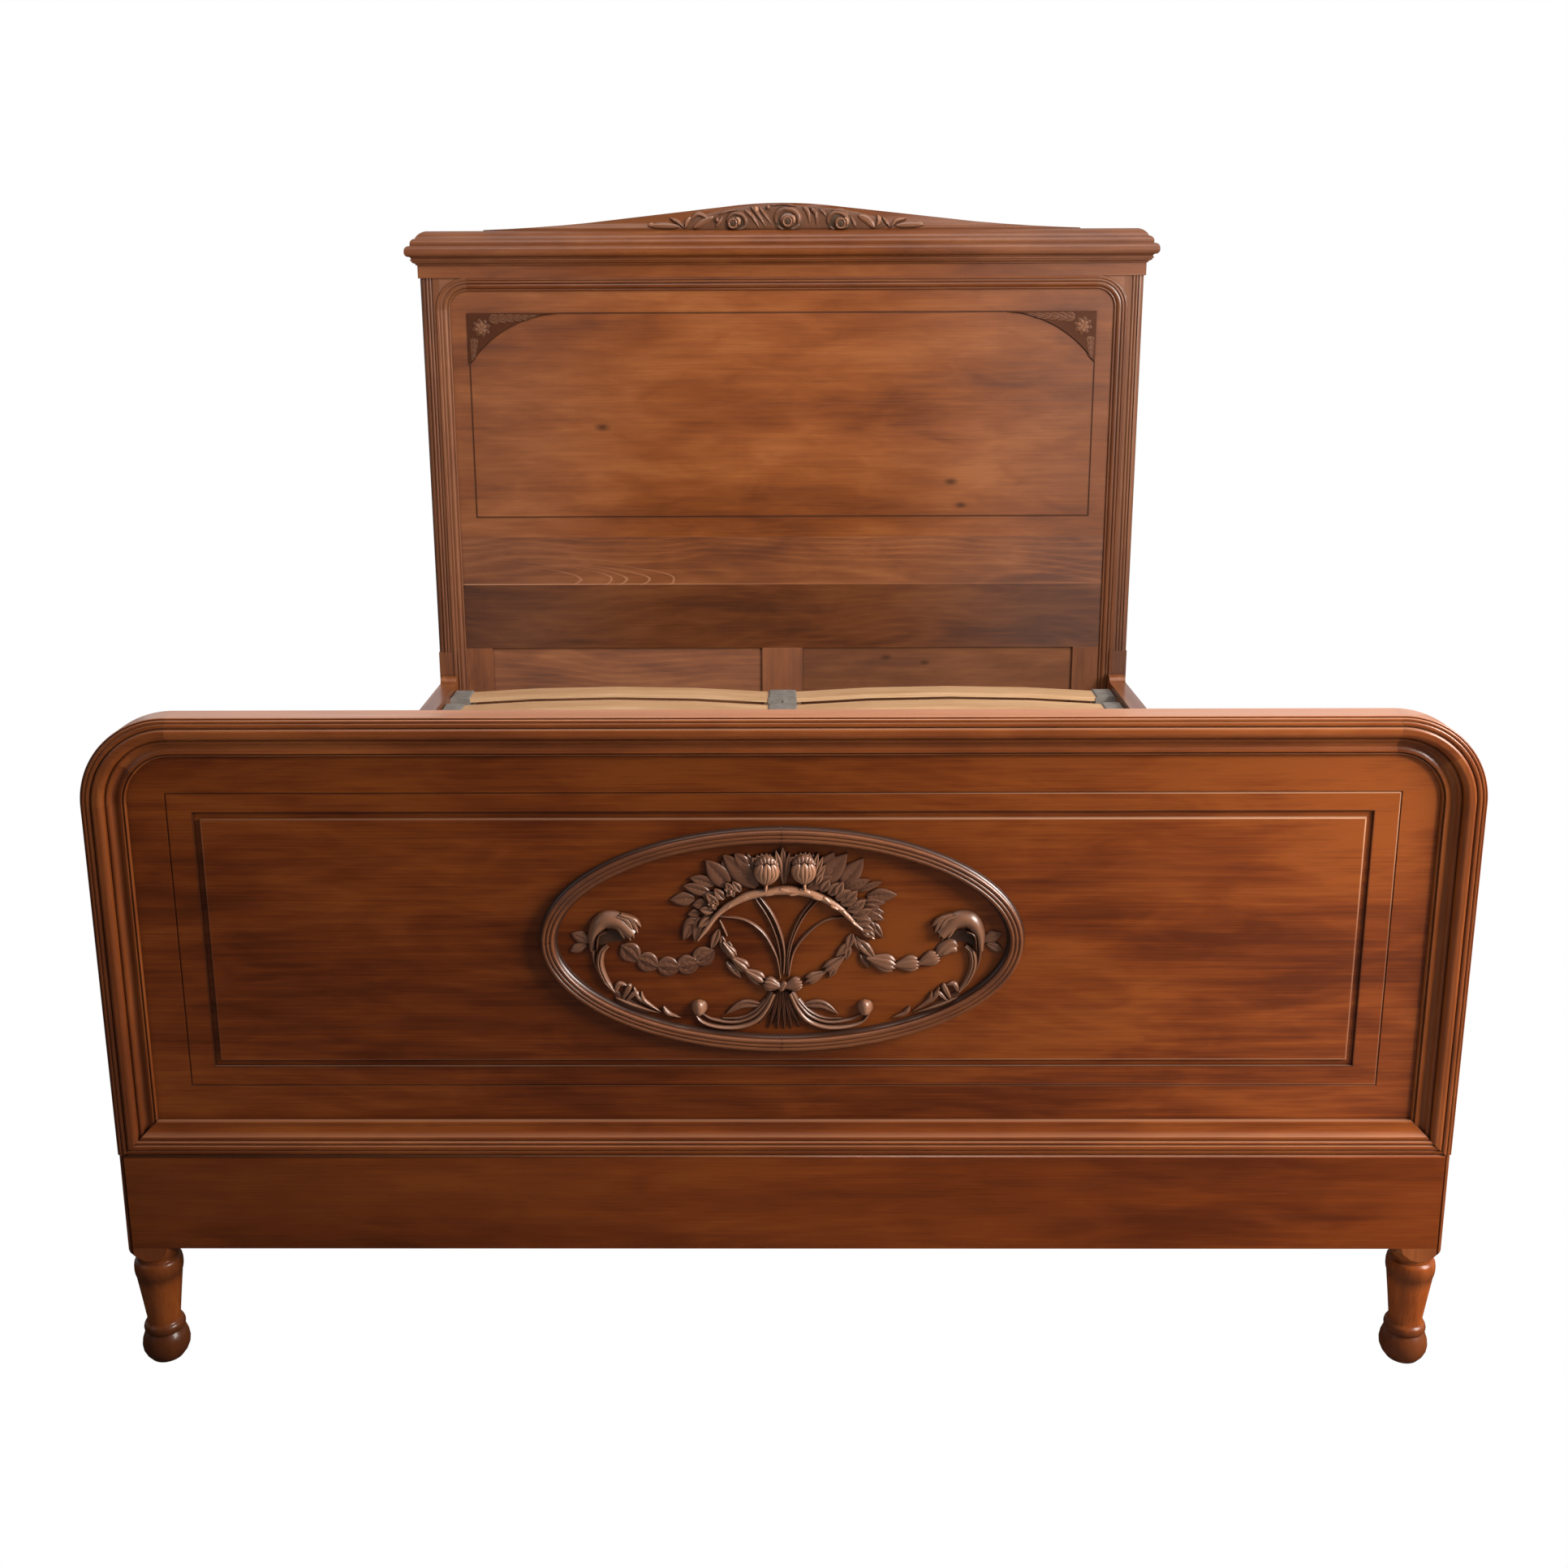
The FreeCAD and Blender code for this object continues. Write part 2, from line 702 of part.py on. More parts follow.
def rose(place, x, z):
    """Many-sided boss for a rose."""
    points = []
    for side in range(rose_sides):
        turn = 2 * math.pi * side / rose_sides
        points.append(place(x + rose_radius * math.cos(turn), z + rose_radius * math.sin(turn)))
    return prism(points, rose_rise)


def band(place, start, middle, end, width, rise):
    """Flat band of even width along an arc on an upright plane, in straight lengths."""
    curve = Part.Arc(place(*start), place(*middle), place(*end)).toShape().Curve
    first, last = curve.parameter(place(*start)), curve.parameter(place(*end))
    through = curve.parameter(place(*middle))
    if not min(first, last) < through < max(first, last):
        last = last + 2 * math.pi if last < first else last - 2 * math.pi
    outer = []
    inner = []
    for step in range(relief_segments + 1):
        spot = curve.value(first + (last - first) * step / relief_segments)
        out = (spot - curve.Center).normalize() * (width / 2)
        outer.append(spot + out)
        inner.append(spot - out)
    return prism(outer + inner[::-1], rise)


def leaf(place, root, tip, belly, relief):
    """Leaf between root and tip, standing out by its relief."""
    along = (tip[0] - root[0], tip[1] - root[1])
    length = math.hypot(*along)
    side = (-along[1] / length * belly, along[0] / length * belly)
    edges = [[], []]
    for far, wide in leaf_edge_shares:
        for edge, sign in zip(edges, (1, -1)):
            edge.append(place(root[0] + along[0] * far + sign * side[0] * wide,
                              root[1] + along[1] * far + sign * side[1] * wide))
    return prism([place(*root)] + edges[0] + [place(*tip)] + edges[1][::-1], relief)


def on_oval(x, z):
    """Places points given across and up from the oval's centre."""
    return Vector(x, panel_plane, oval_centre_height + z)


def in_oval(share, sign=1):
    """Across and up from the oval's centre, on the side that the sign gives."""
    return (sign * share[0] * field_half_width, share[1] * field_half_height)


def oval_band(start, middle, end, width_share, rise):
    """Band of the relief in the oval."""
    return band(on_oval, start, middle, end, width_share * field_half_height, rise)


def oval_leaf(root, tip, belly_share, relief):
    """Leaf of the relief in the oval."""
    return leaf(on_oval, root, tip, belly_share * field_half_height, relief)


def oval_bud(centre, reach, belly_share):
    """Bud of the relief in the oval, reaching as far on both sides of its centre."""
    root = (centre[0] - reach[0], centre[1] - reach[1])
    tip = (centre[0] + reach[0], centre[1] + reach[1])
    return oval_leaf(root, tip, belly_share, bud_rise)


def medallion_carving():
    """Relief in the oval: wreath with buds, fanned stems, swags, end buds and scrolls."""
    side = in_oval(wreath_side_share, -1)
    tie = in_oval(tie_share)
    tie_reach = in_oval(tie_reach_share)
    side_bud = in_oval(side_bud_share, -1)
    stem_foot = in_oval(side_stem_foot_share, -1)
    ball = in_oval(scroll_ball_share, -1)
    ball_reach = (scroll_ball_radius_share * field_half_height, 0.0)
    signs = ((-1, -1), (1, -1), (1, 1), (-1, 1))
    knot = [on_oval(tie_reach[0] * across, tie[1] + tie_reach[1] * up) for across, up in signs]
    centred = [
        oval_band(side, in_oval(wreath_top_share), in_oval(wreath_side_share), wreath_width_share,
                  wreath_rise),
        prism(knot, tie_rise),
        oval_leaf(tie, in_oval(fan_share), fan_belly_share, fan_relief),
    ]
    half = [
        oval_band(side, in_oval(wreath_bulge_share, -1), in_oval(wreath_foot_share, -1), wreath_width_share,
                  wreath_rise),
        oval_band(tie, in_oval(stem_bend_share, -1), in_oval(stem_top_share, -1), stem_width_share,
                  stem_rise),
        oval_band(side, in_oval(swag_low_share, -1), side_bud, swag_width_share, swag_rise),
        oval_band(tie, in_oval(scroll_low_share, -1), ball, scroll_width_share, scroll_rise),
        oval_band(side_bud, in_oval(side_stem_bend_share, -1), stem_foot, scroll_width_share, scroll_rise),
        oval_leaf(stem_foot, in_oval(side_leaf_tip_share, -1), side_leaf_belly_share, fan_relief),
        oval_bud(in_oval(bud_share, -1), in_oval(bud_reach_share), bud_belly_share),
        oval_bud(side_bud, in_oval(side_bud_reach_share), side_bud_belly_share),
        oval_bud(ball, ball_reach, scroll_ball_radius_share),
    ]
    pieces = centred + half + [mirrored(piece) for piece in half]
    return pieces[0].fuse(pieces[1:]).removeSplitter()


def on_head_post(height):
    """Places width and depth on the left side of the headboard."""
    return lambda across, depth: Vector(-half_width + across, head_front + depth, height)


def head_rail_tenon(low, high, clearance):
    """Left tenon of a headboard rail, or with a clearance its mortise."""
    inner = -half_width + head_post_width
    middle = head_front + (rebate_depth + head_depth) / 2
    return block(inner - tenon_length - clearance, inner + clearance,
                 middle - tenon_thickness / 2 - clearance, middle + tenon_thickness / 2 + clearance,
                 low - clearance, high + clearance)


def head_tenons(clearance):
    """Left tenons of the headboard's top and bottom rails."""
    return [
        head_rail_tenon(head_rail_back_bottom + tenon_shoulder, head_post_top - tenon_shoulder, clearance),
        head_rail_tenon(head_bottom_rail_bottom + tenon_shoulder, head_bottom_rail_top - tenon_shoulder,
                        clearance),
    ]


def head_leg():
    """Tapered lower end of the headboard post."""
    sole = [
        (-half_width, head_front + head_depth - leg_foot_depth),
        (-half_width + leg_foot_width, head_front + head_depth - leg_foot_depth),
        (-half_width + leg_foot_width, head_front + head_depth), (-half_width, head_front + head_depth),
    ]
    top = [
        (-half_width, head_front), (-half_width + head_post_width, head_front),
        (-half_width + head_post_width, head_front + head_depth), (-half_width, head_front + head_depth),
    ]
    wires = []
    for height, corners in ((0.0, sole), (leg_taper_top, top)):
        place = in_plan(height)
        wires.append(Part.Wire(edges_from(place, corners[0], corners[1:] + corners[:1])))
    return Part.makeLoft(wires, True, True)


def head_post():
    """Left post: reeded above its stop, plain below, rebated for the boards, tapered at the floor."""
    back = [
        (head_flat_width, rebate_depth), (head_post_width, rebate_depth), (head_post_width, head_depth),
        (0.0, head_depth),
    ]
    reeds = scaled(head_reed_shares, head_flat_width, reed_relief)
    upper = face_from(on_head_post(reed_stop_height), reeds[0], reeds[1:] + [(head_flat_width, 0.0)] + back)
    upper = upper.extrude(Z_AXIS * (head_post_top - reed_stop_height))
    lower = face_from(on_head_post(head_bottom_rail_bottom), (0.0, 0.0), [(head_flat_width, 0.0)] + back)
    lower = lower.extrude(Z_AXIS * (reed_stop_height - head_bottom_rail_bottom))
    square = block(-half_width, -half_width + head_post_width, head_front, head_front + head_depth,
                   leg_taper_top, head_bottom_rail_bottom)
    post = upper.fuse([lower, square, head_leg()]).removeSplitter()
    for mortise in head_tenons(tenon_clearance):
        post = post.cut(mortise)
    return post.cut(to_head(keeper_pocket()))


def head_top_rail():
    """Top rail: a board between the posts, with a face that turns down in rounded corners."""
    reach = half_width - head_flat_width
    span = reach - head_corner_radius
    left = (-span, head_corner_height)
    right = (span, head_corner_height)
    steps = [
        (reach, head_post_top), (reach, head_corner_height),
        (quarter(right, head_corner_radius, 1, 1), (span, head_opening_top)),
        (-span, head_opening_top),
        (quarter(left, head_corner_radius, -1, 1), (-reach, head_corner_height)),
    ]
    fascia = face_from(facing(head_front), (-reach, head_post_top), steps).extrude(Y_AXIS * rebate_depth)
    inner = half_width - head_post_width
    board = block(-inner, inner, head_front + rebate_depth, head_front + head_depth,
                  head_rail_back_bottom, head_post_top)
    return fascia.fuse([board, both_sides(head_tenons(0.0)[0])]).removeSplitter()


def head_frieze():
    """Plain band under the cornice, flaring forwards and sideways."""
    wires = []
    for height, flare in ((head_post_top, 0.0), (frieze_top, frieze_flare)):
        side = half_width + flare
        corners = [
            (-side, head_front - flare), (side, head_front - flare),
            (side, head_front + head_depth), (-side, head_front + head_depth),
        ]
        wires.append(Part.Wire(edges_from(in_plan(height), corners[0], corners[1:] + corners[:1])))
    return Part.makeLoft(wires, True, True)


def cornice_section(place):
    """The cornice's section, from its moulded face to the headboard's depth."""
    real = scaled(cornice_shares, cornice_reach, cornice_top - frieze_top)
    back = [(-head_depth, cornice_top - frieze_top), (-head_depth, 0.0)]
    return face_from(place, real[0], real[1:] + back)


def cornice_mitre(toward_front):
    """Wedge in plan on one side of the left mitre."""
    near = (-half_width - cornice_reach - overrun, head_front - cornice_reach - overrun)
    far = (-half_width + head_depth + overrun, head_front + head_depth + overrun)
    third = (far[0], near[1]) if toward_front else (near[0], far[1])
    wedge = face_from(in_plan(frieze_top - overrun), near, [far, third])
    return wedge.extrude(Z_AXIS * (cornice_top - frieze_top + 2 * overrun))


def cornice_front():
    """Long front length of the cornice, mitred at both ends."""
    reach = half_width + cornice_reach
    place = lambda out, rise: Vector(-reach, head_front - out, frieze_top + rise)
    front = cornice_section(place).extrude(X_AXIS * (2 * reach))
    behind = cornice_mitre(False)
    return front.cut(behind).cut(mirrored(behind))


def cornice_return():
    """Short left length of the cornice that returns to the wall."""
    start = head_front - cornice_reach
    place = lambda out, rise: Vector(-half_width - out, start, frieze_top + rise)
    side = cornice_section(place).extrude(Y_AXIS * (head_depth + cornice_reach))
    return side.cut(cornice_mitre(True))


def crest():
    """Low ogee pediment on the cornice."""
    def at(share, sign):
        return (sign * share[0] * crest_half_length, cornice_top + share[1] * crest_rise)
    tip = cornice_top + crest_tip_height
    steps = [
        (-crest_half_length, tip),
        (at(crest_flare_share, -1), at(crest_inflection_share, -1)),
        at(crest_shoulder_share, -1),
        ((0.0, cornice_top + crest_rise), at(crest_shoulder_share, 1)),
        at(crest_inflection_share, 1),
        (at(crest_flare_share, 1), (crest_half_length, tip)),
        (crest_half_length, cornice_top),
    ]
    face = face_from(facing(head_front + crest_setback), (-crest_half_length, cornice_top), steps)
    return face.extrude(Y_AXIS * crest_thickness)


def crest_carving():
    """Three roses and two long leaves in relief on the crest's face."""
    place = lambda x, z: Vector(x, head_front + crest_setback, z)
    spacing = crest_half_length * rose_spacing_share
    height = cornice_top + crest_rise * rose_height_share
    roses = [rose(place, offset * spacing, height) for offset in (-1, 0, 1)]
    tip = (crest_half_length * crest_leaf_reach_share, cornice_top + crest_rise * crest_leaf_foot_share)
    long_leaf = leaf(place, (spacing / 2, height), tip, crest_leaf_belly, crest_leaf_relief)
    below = block(-half_width, half_width, head_front, head_front + crest_setback,
                  cornice_top - crest_rise, cornice_top)
    leaves = both_sides(long_leaf).cut(below)
    return leaves.fuse(roses).removeSplitter()


def line_outline():
    """Start and steps of the headboard panel's line, hollowed at its upper corners."""
    side = head_line_half_width
    hollow = (corner_arm_length * corner_hollow_share[0], corner_arm_drop * corner_hollow_share[1])
    steps = [
        (-side, head_line_top - corner_arm_drop),
        ((-side + hollow[0], head_line_top - hollow[1]), (-side + corner_arm_length, head_line_top)),
        (side - corner_arm_length, head_line_top),
        ((side - hollow[0], head_line_top - hollow[1]), (side, head_line_top - corner_arm_drop)),
        (side, head_line_bottom),
    ]
    return (-side, head_line_bottom), steps


def head_panel():
    """Main headboard panel with its incised line."""
    half_span = half_width - head_flat_width - panel_edge_clearance
    panel = rounded_panel(half_span, head_panel_bottom, head_opening_top - panel_edge_clearance,
                          head_corner_radius - panel_edge_clearance, head_board_plane,
                          rebate_depth - head_board_face)
    start, steps = line_outline()
    outer = face_from(facing(head_board_plane - overrun), start, steps)
    inner = outer.makeOffset2D(-line_width)
    depth = Y_AXIS * (overrun + line_depth)
    return panel.cut(outer.extrude(depth).cut(inner.extrude(depth)))


def corner_carving():
    """Left spandrel in low relief between the panel's line and its square corner."""
    side = head_line_half_width
    hollow = (corner_arm_length * corner_hollow_share[0], corner_arm_drop * corner_hollow_share[1])
    steps = [
        (-side, head_line_top - corner_arm_drop),
        ((-side + hollow[0], head_line_top - hollow[1]), (-side + corner_arm_length, head_line_top)),
    ]
    face = face_from(facing(head_board_plane - corner_relief), (-side, head_line_top), steps)
    return face.extrude(Y_AXIS * corner_relief)


def head_board(low, high):
    """Full-width headboard board in the posts' rebates."""
    half_span = half_width - head_flat_width - panel_edge_clearance
    return block(-half_span, half_span, head_board_plane, head_front + rebate_depth, low, high)


def lower_panel(clearance):
    """Left lower panel, or with no clearance the room for it in the grooves around."""
    near = head_board_plane + lower_panel_setback
    return block(-head_lower_stile_face - lower_panel_groove + clearance,
                 -muntin_half_width + lower_panel_groove - clearance,
                 near, near + lower_panel_thickness,
                 head_bottom_rail_top - lower_panel_groove + clearance,
                 mid_rail_bottom + lower_panel_groove - clearance)


def grooved(shape):
    """A headboard member with the grooves for both lower panels."""
    return shape.cut(lower_panel(0.0)).cut(mirrored(lower_panel(0.0)))


def head_lower_stile():
    """Left stile beside the lower panels."""
    outer = half_width - head_flat_width - panel_edge_clearance
    return grooved(block(-outer, -head_lower_stile_face, head_board_plane, head_front + rebate_depth,
                         head_bottom_rail_top, mid_rail_bottom))


def head_muntin():
    """Upright between the two lower panels."""
    return grooved(block(-muntin_half_width, muntin_half_width, head_board_plane,
                         head_front + rebate_depth, head_bottom_rail_top, mid_rail_bottom))


def head_bottom_rail():
    """Bottom rail, lapped into the posts' rebates and tenoned behind them."""
    inner = half_width - head_post_width
    board = head_board(head_bottom_rail_bottom, head_bottom_rail_top)
    rear = block(-inner, inner, head_front + rebate_depth, head_front + head_depth,
                 head_bottom_rail_bottom, head_bottom_rail_top)
    return grooved(board.fuse([rear, both_sides(head_tenons(0.0)[1])]).removeSplitter())


def moulding_section(place):
    """Section of the applied moulding."""
    real = scaled(moulding_shares, moulding_width, head_board_face + moulding_proud)
    return face_from(place, real[0], real[1:])


def moulding_upright():
    """Left length of the panel moulding."""
    place = lambda across, rise: Vector(-half_width + head_flat_width + across,
                                        head_board_plane - rise, moulding_foot)
    return moulding_section(place).extrude(Z_AXIS * (head_corner_height - moulding_foot))


def moulding_corner():
    """Left rounded corner of the panel moulding."""
    place = lambda across, rise: Vector(-half_width + head_flat_width + across,
                                        head_board_plane - rise, head_corner_height)
    centre = Vector(-half_width + head_flat_width + head_corner_radius, head_front, head_corner_height)
    return moulding_section(place).revolve(centre, Y_AXIS, 90)


def moulding_top():
    """Top length of the panel moulding."""
    reach = half_width - head_flat_width - head_corner_radius
    place = lambda across, rise: Vector(-reach, head_board_plane - rise, head_opening_top - across)
    return moulding_section(place).extrude(X_AXIS * (2 * reach))


def to_head(shape):
    """A fitting of the foot end, turned to the head end of the side rail."""
    return shape.mirror(Vector(0, (foot_back + head_front) / 2, 0), Y_AXIS)


def keeper_blank(near, far):
    """Plate on the rail's end line, between two distances from the joint."""
    middle = rail_bottom + rail_height / 2
    return block(-rail_middle - hook_plate_width / 2, -rail_middle + hook_plate_width / 2,
                 foot_back + near, foot_back + far,
                 middle - hook_plate_height / 2, middle + hook_plate_height / 2)


def hook_seats():
    """Heights where the two hooks rest in the keeper."""
    middle = rail_bottom + rail_height / 2 - keeper_slot_height / 2
    return [middle - hook_offset, middle + hook_offset]


def keeper():
    """Slotted steel plate flush in the left foot post."""
    plate = keeper_blank(-hook_plate_thickness, 0.0)
    for seat in hook_seats():
        plate = plate.cut(block(-rail_middle - keeper_slot_width / 2, -rail_middle + keeper_slot_width / 2,
                                foot_back - hook_plate_thickness, foot_back,
                                seat, seat + keeper_slot_height))
    return plate


def keeper_pocket():
    """Recess in the left foot post for the keeper, with a deeper slot for the hooks."""
    middle = rail_bottom + rail_height / 2
    slot = block(-rail_middle - keeper_pocket_width / 2, -rail_middle + keeper_pocket_width / 2,
                 foot_back - keeper_pocket_depth, foot_back,
                 middle - keeper_pocket_height / 2, middle + keeper_pocket_height / 2)
    return keeper_blank(-hook_plate_thickness, 0.0).fuse(slot)


def hook_tongue(seat):
    """Hook that drops behind the keeper and rests on its slot."""
    behind = foot_back - hook_plate_thickness - hook_clearance
    steps = [
        (foot_back, seat + hook_height), (foot_back - hook_reach, seat + hook_height),
        (foot_back - hook_reach, seat - hook_drop), (behind, seat - hook_drop), (behind, seat),
    ]
    tongue = face_from(sideways(-rail_middle - hook_thickness / 2), (foot_back, seat), steps)
    return tongue.extrude(X_AXIS * hook_thickness)


def rail_hook():
    """Plate in the rail's end with its two hooks."""
    plate = keeper_blank(0.0, hook_plate_thickness)
    return plate.fuse([hook_tongue(seat) for seat in hook_seats()]).removeSplitter()


def all_ends(shapes):
    """Fittings of the left foot corner repeated at all four corners."""
    left = shapes + [to_head(shape) for shape in shapes]
    return group(left + [mirrored(shape) for shape in left])


def side_rail():
    """Left side rail, raised in a rounded ear where it meets each post."""
    top = rail_top + rail_ear_rise
    near = foot_back + rail_ear_length - rail_ear_rise
    far = head_front - rail_ear_length + rail_ear_rise
    steps = [
        (foot_back, top), (near, top),
        (quarter((near, rail_top), rail_ear_rise, 1, 1), (near + rail_ear_rise, rail_top)),
        (far - rail_ear_rise, rail_top),
        (quarter((far, rail_top), rail_ear_rise, -1, 1), (far, top)),
        (head_front, top), (head_front, rail_bottom),
    ]
    rail = face_from(sideways(-rail_outer), (foot_back, rail_bottom), steps)
    rail = rail.extrude(X_AXIS * rail_thickness)
    recess = keeper_blank(0.0, hook_plate_thickness)
    return rail.cut(recess).cut(to_head(recess))


def ledger():
    """Left strip on the rail's inner face that carries the slat holders."""
    return block(-rail_inner, -rail_inner + ledger_width, foot_back, head_front,
                 holder_bottom - ledger_height, holder_bottom)


def slat_middle(index):
    """Y of a slat's middle, counted from the head."""
    return head_front - slat_head_gap - slat_width / 2 - index * slat_pitch


def slat(index):
    """Left bowed slat, in straight lengths along its bow."""
    outer = -rail_inner + slat_outer_gap
    inner = -slat_inner_gap
    upper = []
    for step in range(slat_bow_segments + 1):
        share = step / slat_bow_segments
        bow = slat_rise * (1 - (2 * share - 1) ** 2)
        upper.append((outer + (inner - outer) * share, slat_top - slat_rise + bow))
    under = [(x, z - slat_thickness) for x, z in reversed(upper)]
    place = facing(slat_middle(index) - slat_width / 2)
    return face_from(place, upper[0], upper[1:] + under).extrude(Y_AXIS * slat_width)


def holder_blank(left, right, index):
    """Slat holder with chamfered upper edges, before its pocket is made."""
    steps = [
        (left, holder_top - holder_chamfer), (left + holder_chamfer, holder_top),
        (right - holder_chamfer, holder_top), (right, holder_top - holder_chamfer), (right, holder_bottom),
    ]
    place = facing(slat_middle(index) - holder_depth / 2)
    return face_from(place, (left, holder_bottom), steps).extrude(Y_AXIS * holder_depth)


def outer_holder(index):
    """Left end holder, pocketed for the slat."""
    blank = holder_blank(-rail_inner, -rail_inner + holder_outer_length, index)
    return blank.cut(slat(index))


def centre_holder(index):
    """Double holder on the centre beam, slit so that each half gives."""
    blank = holder_blank(-holder_centre_half_length, holder_centre_half_length, index)
    y = slat_middle(index)
    slit = block(-holder_slit_width / 2, holder_slit_width / 2, y - holder_depth, y + holder_depth,
                 holder_bottom - overrun, holder_slit_top)
    return blank.cut(slat(index)).cut(mirrored(slat(index))).cut(slit)


def centre_beam():
    """Beam under the centre holders, let into a block at each end."""
    near = foot_front + foot_rail_back + beam_block_thickness - beam_seat_depth + tenon_clearance
    far = head_board_plane - beam_block_thickness + beam_seat_depth - tenon_clearance
    return block(-beam_width / 2, beam_width / 2, near, far, beam_top - beam_height, beam_top)


def beam_seat():
    """Room that the beam takes in its end blocks."""
    near = foot_front + foot_rail_back + beam_block_thickness - beam_seat_depth
    far = head_board_plane - beam_block_thickness + beam_seat_depth
    return block(-beam_width / 2, beam_width / 2, near, far, beam_top - beam_height, beam_top)


def beam_block_head():
    """Block on the muntin that carries the beam's head end."""
    return block(-beam_block_width / 2, beam_block_width / 2, head_board_plane - beam_block_thickness,
                 head_board_plane, beam_block_bottom, beam_top).cut(beam_seat())


def beam_block_foot():
    """Block on the footboard's bottom rail that carries the beam's foot end."""
    back = foot_front + foot_rail_back
    return block(-beam_block_width / 2, beam_block_width / 2, back, back + beam_block_thickness,
                 beam_block_bottom, beam_block_foot_top).cut(beam_seat())


def beam_leg():
    """Leg under the middle of the beam."""
    return block(-beam_leg_side / 2, beam_leg_side / 2, -beam_leg_side / 2, beam_leg_side / 2,
                 0.0, beam_top - beam_height)


def write(node, shape):
    """Write one node's solids."""
    shape.exportStep("parts/" + node + ".step")
    bad = [solid for solid in shape.Solids if not solid.isValid()]
    print(node, len(shape.Solids), "solids", round(shape.Volume / 1000), "cm3", "INVALID" if bad else "")


def write_pair(node, shape):
    """Write a left node and its mirror image."""
    write(node + "_left", shape)
    write(node + "_right", mirrored(shape))


def write_footboard():
    """Footboard nodes."""
    write_pair("foot_post", foot_post())
    write("front_feet", pair(turned_foot()))
    write("foot_corners_lower", pair(corner_block(0.0, corner_joint_angle)))
    write("foot_corners_upper", pair(corner_block(corner_joint_angle, 90.0)))
    write("foot_top_rail", foot_top_rail())
    write("foot_base_moulding", foot_base_moulding())
    write("foot_apron", foot_apron())
    write("foot_bottom_rail", foot_bottom_rail())
    write("foot_panel", foot_panel())
    write("medallion_ring", medallion_ring())
    write("medallion_carving", medallion_carving())
    tenons = frame_tenons(0.0)
    write("foot_frame_tenons", group(tenons + [mirrored(tenon) for tenon in tenons]))


def write_headboard():
    """Headboard nodes."""
    write_pair("head_post", head_post())
    write("head_top_rail", head_top_rail())
    write("head_frieze", head_frieze())
    write("cornice_front", cornice_front())
    write("cornice_returns", pair(cornice_return()))
    write("crest", crest())
    write("crest_carving", crest_carving())
    write("head_panel", head_panel())
    write("corner_carvings", pair(corner_carving()))
    write("head_upper_board", head_board(mid_rail_top, head_panel_bottom))
    write("head_mid_rail", grooved(head_board(mid_rail_bottom, mid_rail_top)))
    write_pair("head_lower_stile", head_lower_stile())
    write("head_muntin", head_muntin())
    write_pair("head_lower_panel", lower_panel(panel_edge_clearance))
    write("head_bottom_rail", head_bottom_rail())
    write_pair("head_moulding", moulding_upright())
    write("head_moulding_corners", pair(moulding_corner()))
    write("head_moulding_top", moulding_top())


def write_base():
    """Side rails, fittings, slats and beam."""
    write_pair("side_rail", side_rail())
    write_pair("ledger", ledger())
    write("bed_hooks", all_ends([rail_hook()]))
    write("hook_keepers", all_ends([keeper()]))
    rows = range(slat_count)
    write_pair("slats", group([slat(index) for index in rows]))
    write_pair("slat_holders", group([outer_holder(index) for index in rows]))
    write("centre_holders", group([centre_holder(index) for index in rows]))
    write("centre_beam", centre_beam())
    write("beam_block_head", beam_block_head())
    write("beam_block_foot", beam_block_foot())
    write("beam_leg", beam_leg())


os.makedirs("parts", exist_ok=True)
write_footboard()
write_headboard()
write_base()
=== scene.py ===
"""Looks of the double bed: polished wood, carving, slats, light and camera. Lengths in metres."""
import math
import bmesh
import bpy
from mathutils import Matrix, Vector


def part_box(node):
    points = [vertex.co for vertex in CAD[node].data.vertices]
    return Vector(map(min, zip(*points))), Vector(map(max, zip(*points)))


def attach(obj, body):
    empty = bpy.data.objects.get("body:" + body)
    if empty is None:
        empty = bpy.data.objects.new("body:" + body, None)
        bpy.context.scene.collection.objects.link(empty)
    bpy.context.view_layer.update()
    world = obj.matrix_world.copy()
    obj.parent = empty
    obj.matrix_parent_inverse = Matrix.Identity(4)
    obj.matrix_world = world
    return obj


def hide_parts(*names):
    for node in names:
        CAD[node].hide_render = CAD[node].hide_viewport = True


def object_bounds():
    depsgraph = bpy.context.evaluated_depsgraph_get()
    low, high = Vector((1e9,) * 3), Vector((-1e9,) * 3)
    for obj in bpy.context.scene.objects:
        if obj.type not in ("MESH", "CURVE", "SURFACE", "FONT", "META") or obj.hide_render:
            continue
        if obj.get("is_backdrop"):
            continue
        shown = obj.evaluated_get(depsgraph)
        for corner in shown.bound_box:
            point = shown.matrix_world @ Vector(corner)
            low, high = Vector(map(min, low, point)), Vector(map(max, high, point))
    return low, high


MM = 0.001
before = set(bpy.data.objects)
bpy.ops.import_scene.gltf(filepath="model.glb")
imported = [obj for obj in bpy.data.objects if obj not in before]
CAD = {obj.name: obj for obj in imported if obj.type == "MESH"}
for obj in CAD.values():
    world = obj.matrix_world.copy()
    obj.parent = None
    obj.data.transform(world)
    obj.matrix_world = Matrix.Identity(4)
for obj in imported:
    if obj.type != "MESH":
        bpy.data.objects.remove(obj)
bounds_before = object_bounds()
OVAL_HEIGHT = 0.593
OVAL_CENTRE = Vector((0.0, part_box("foot_panel")[0].y, OVAL_HEIGHT))

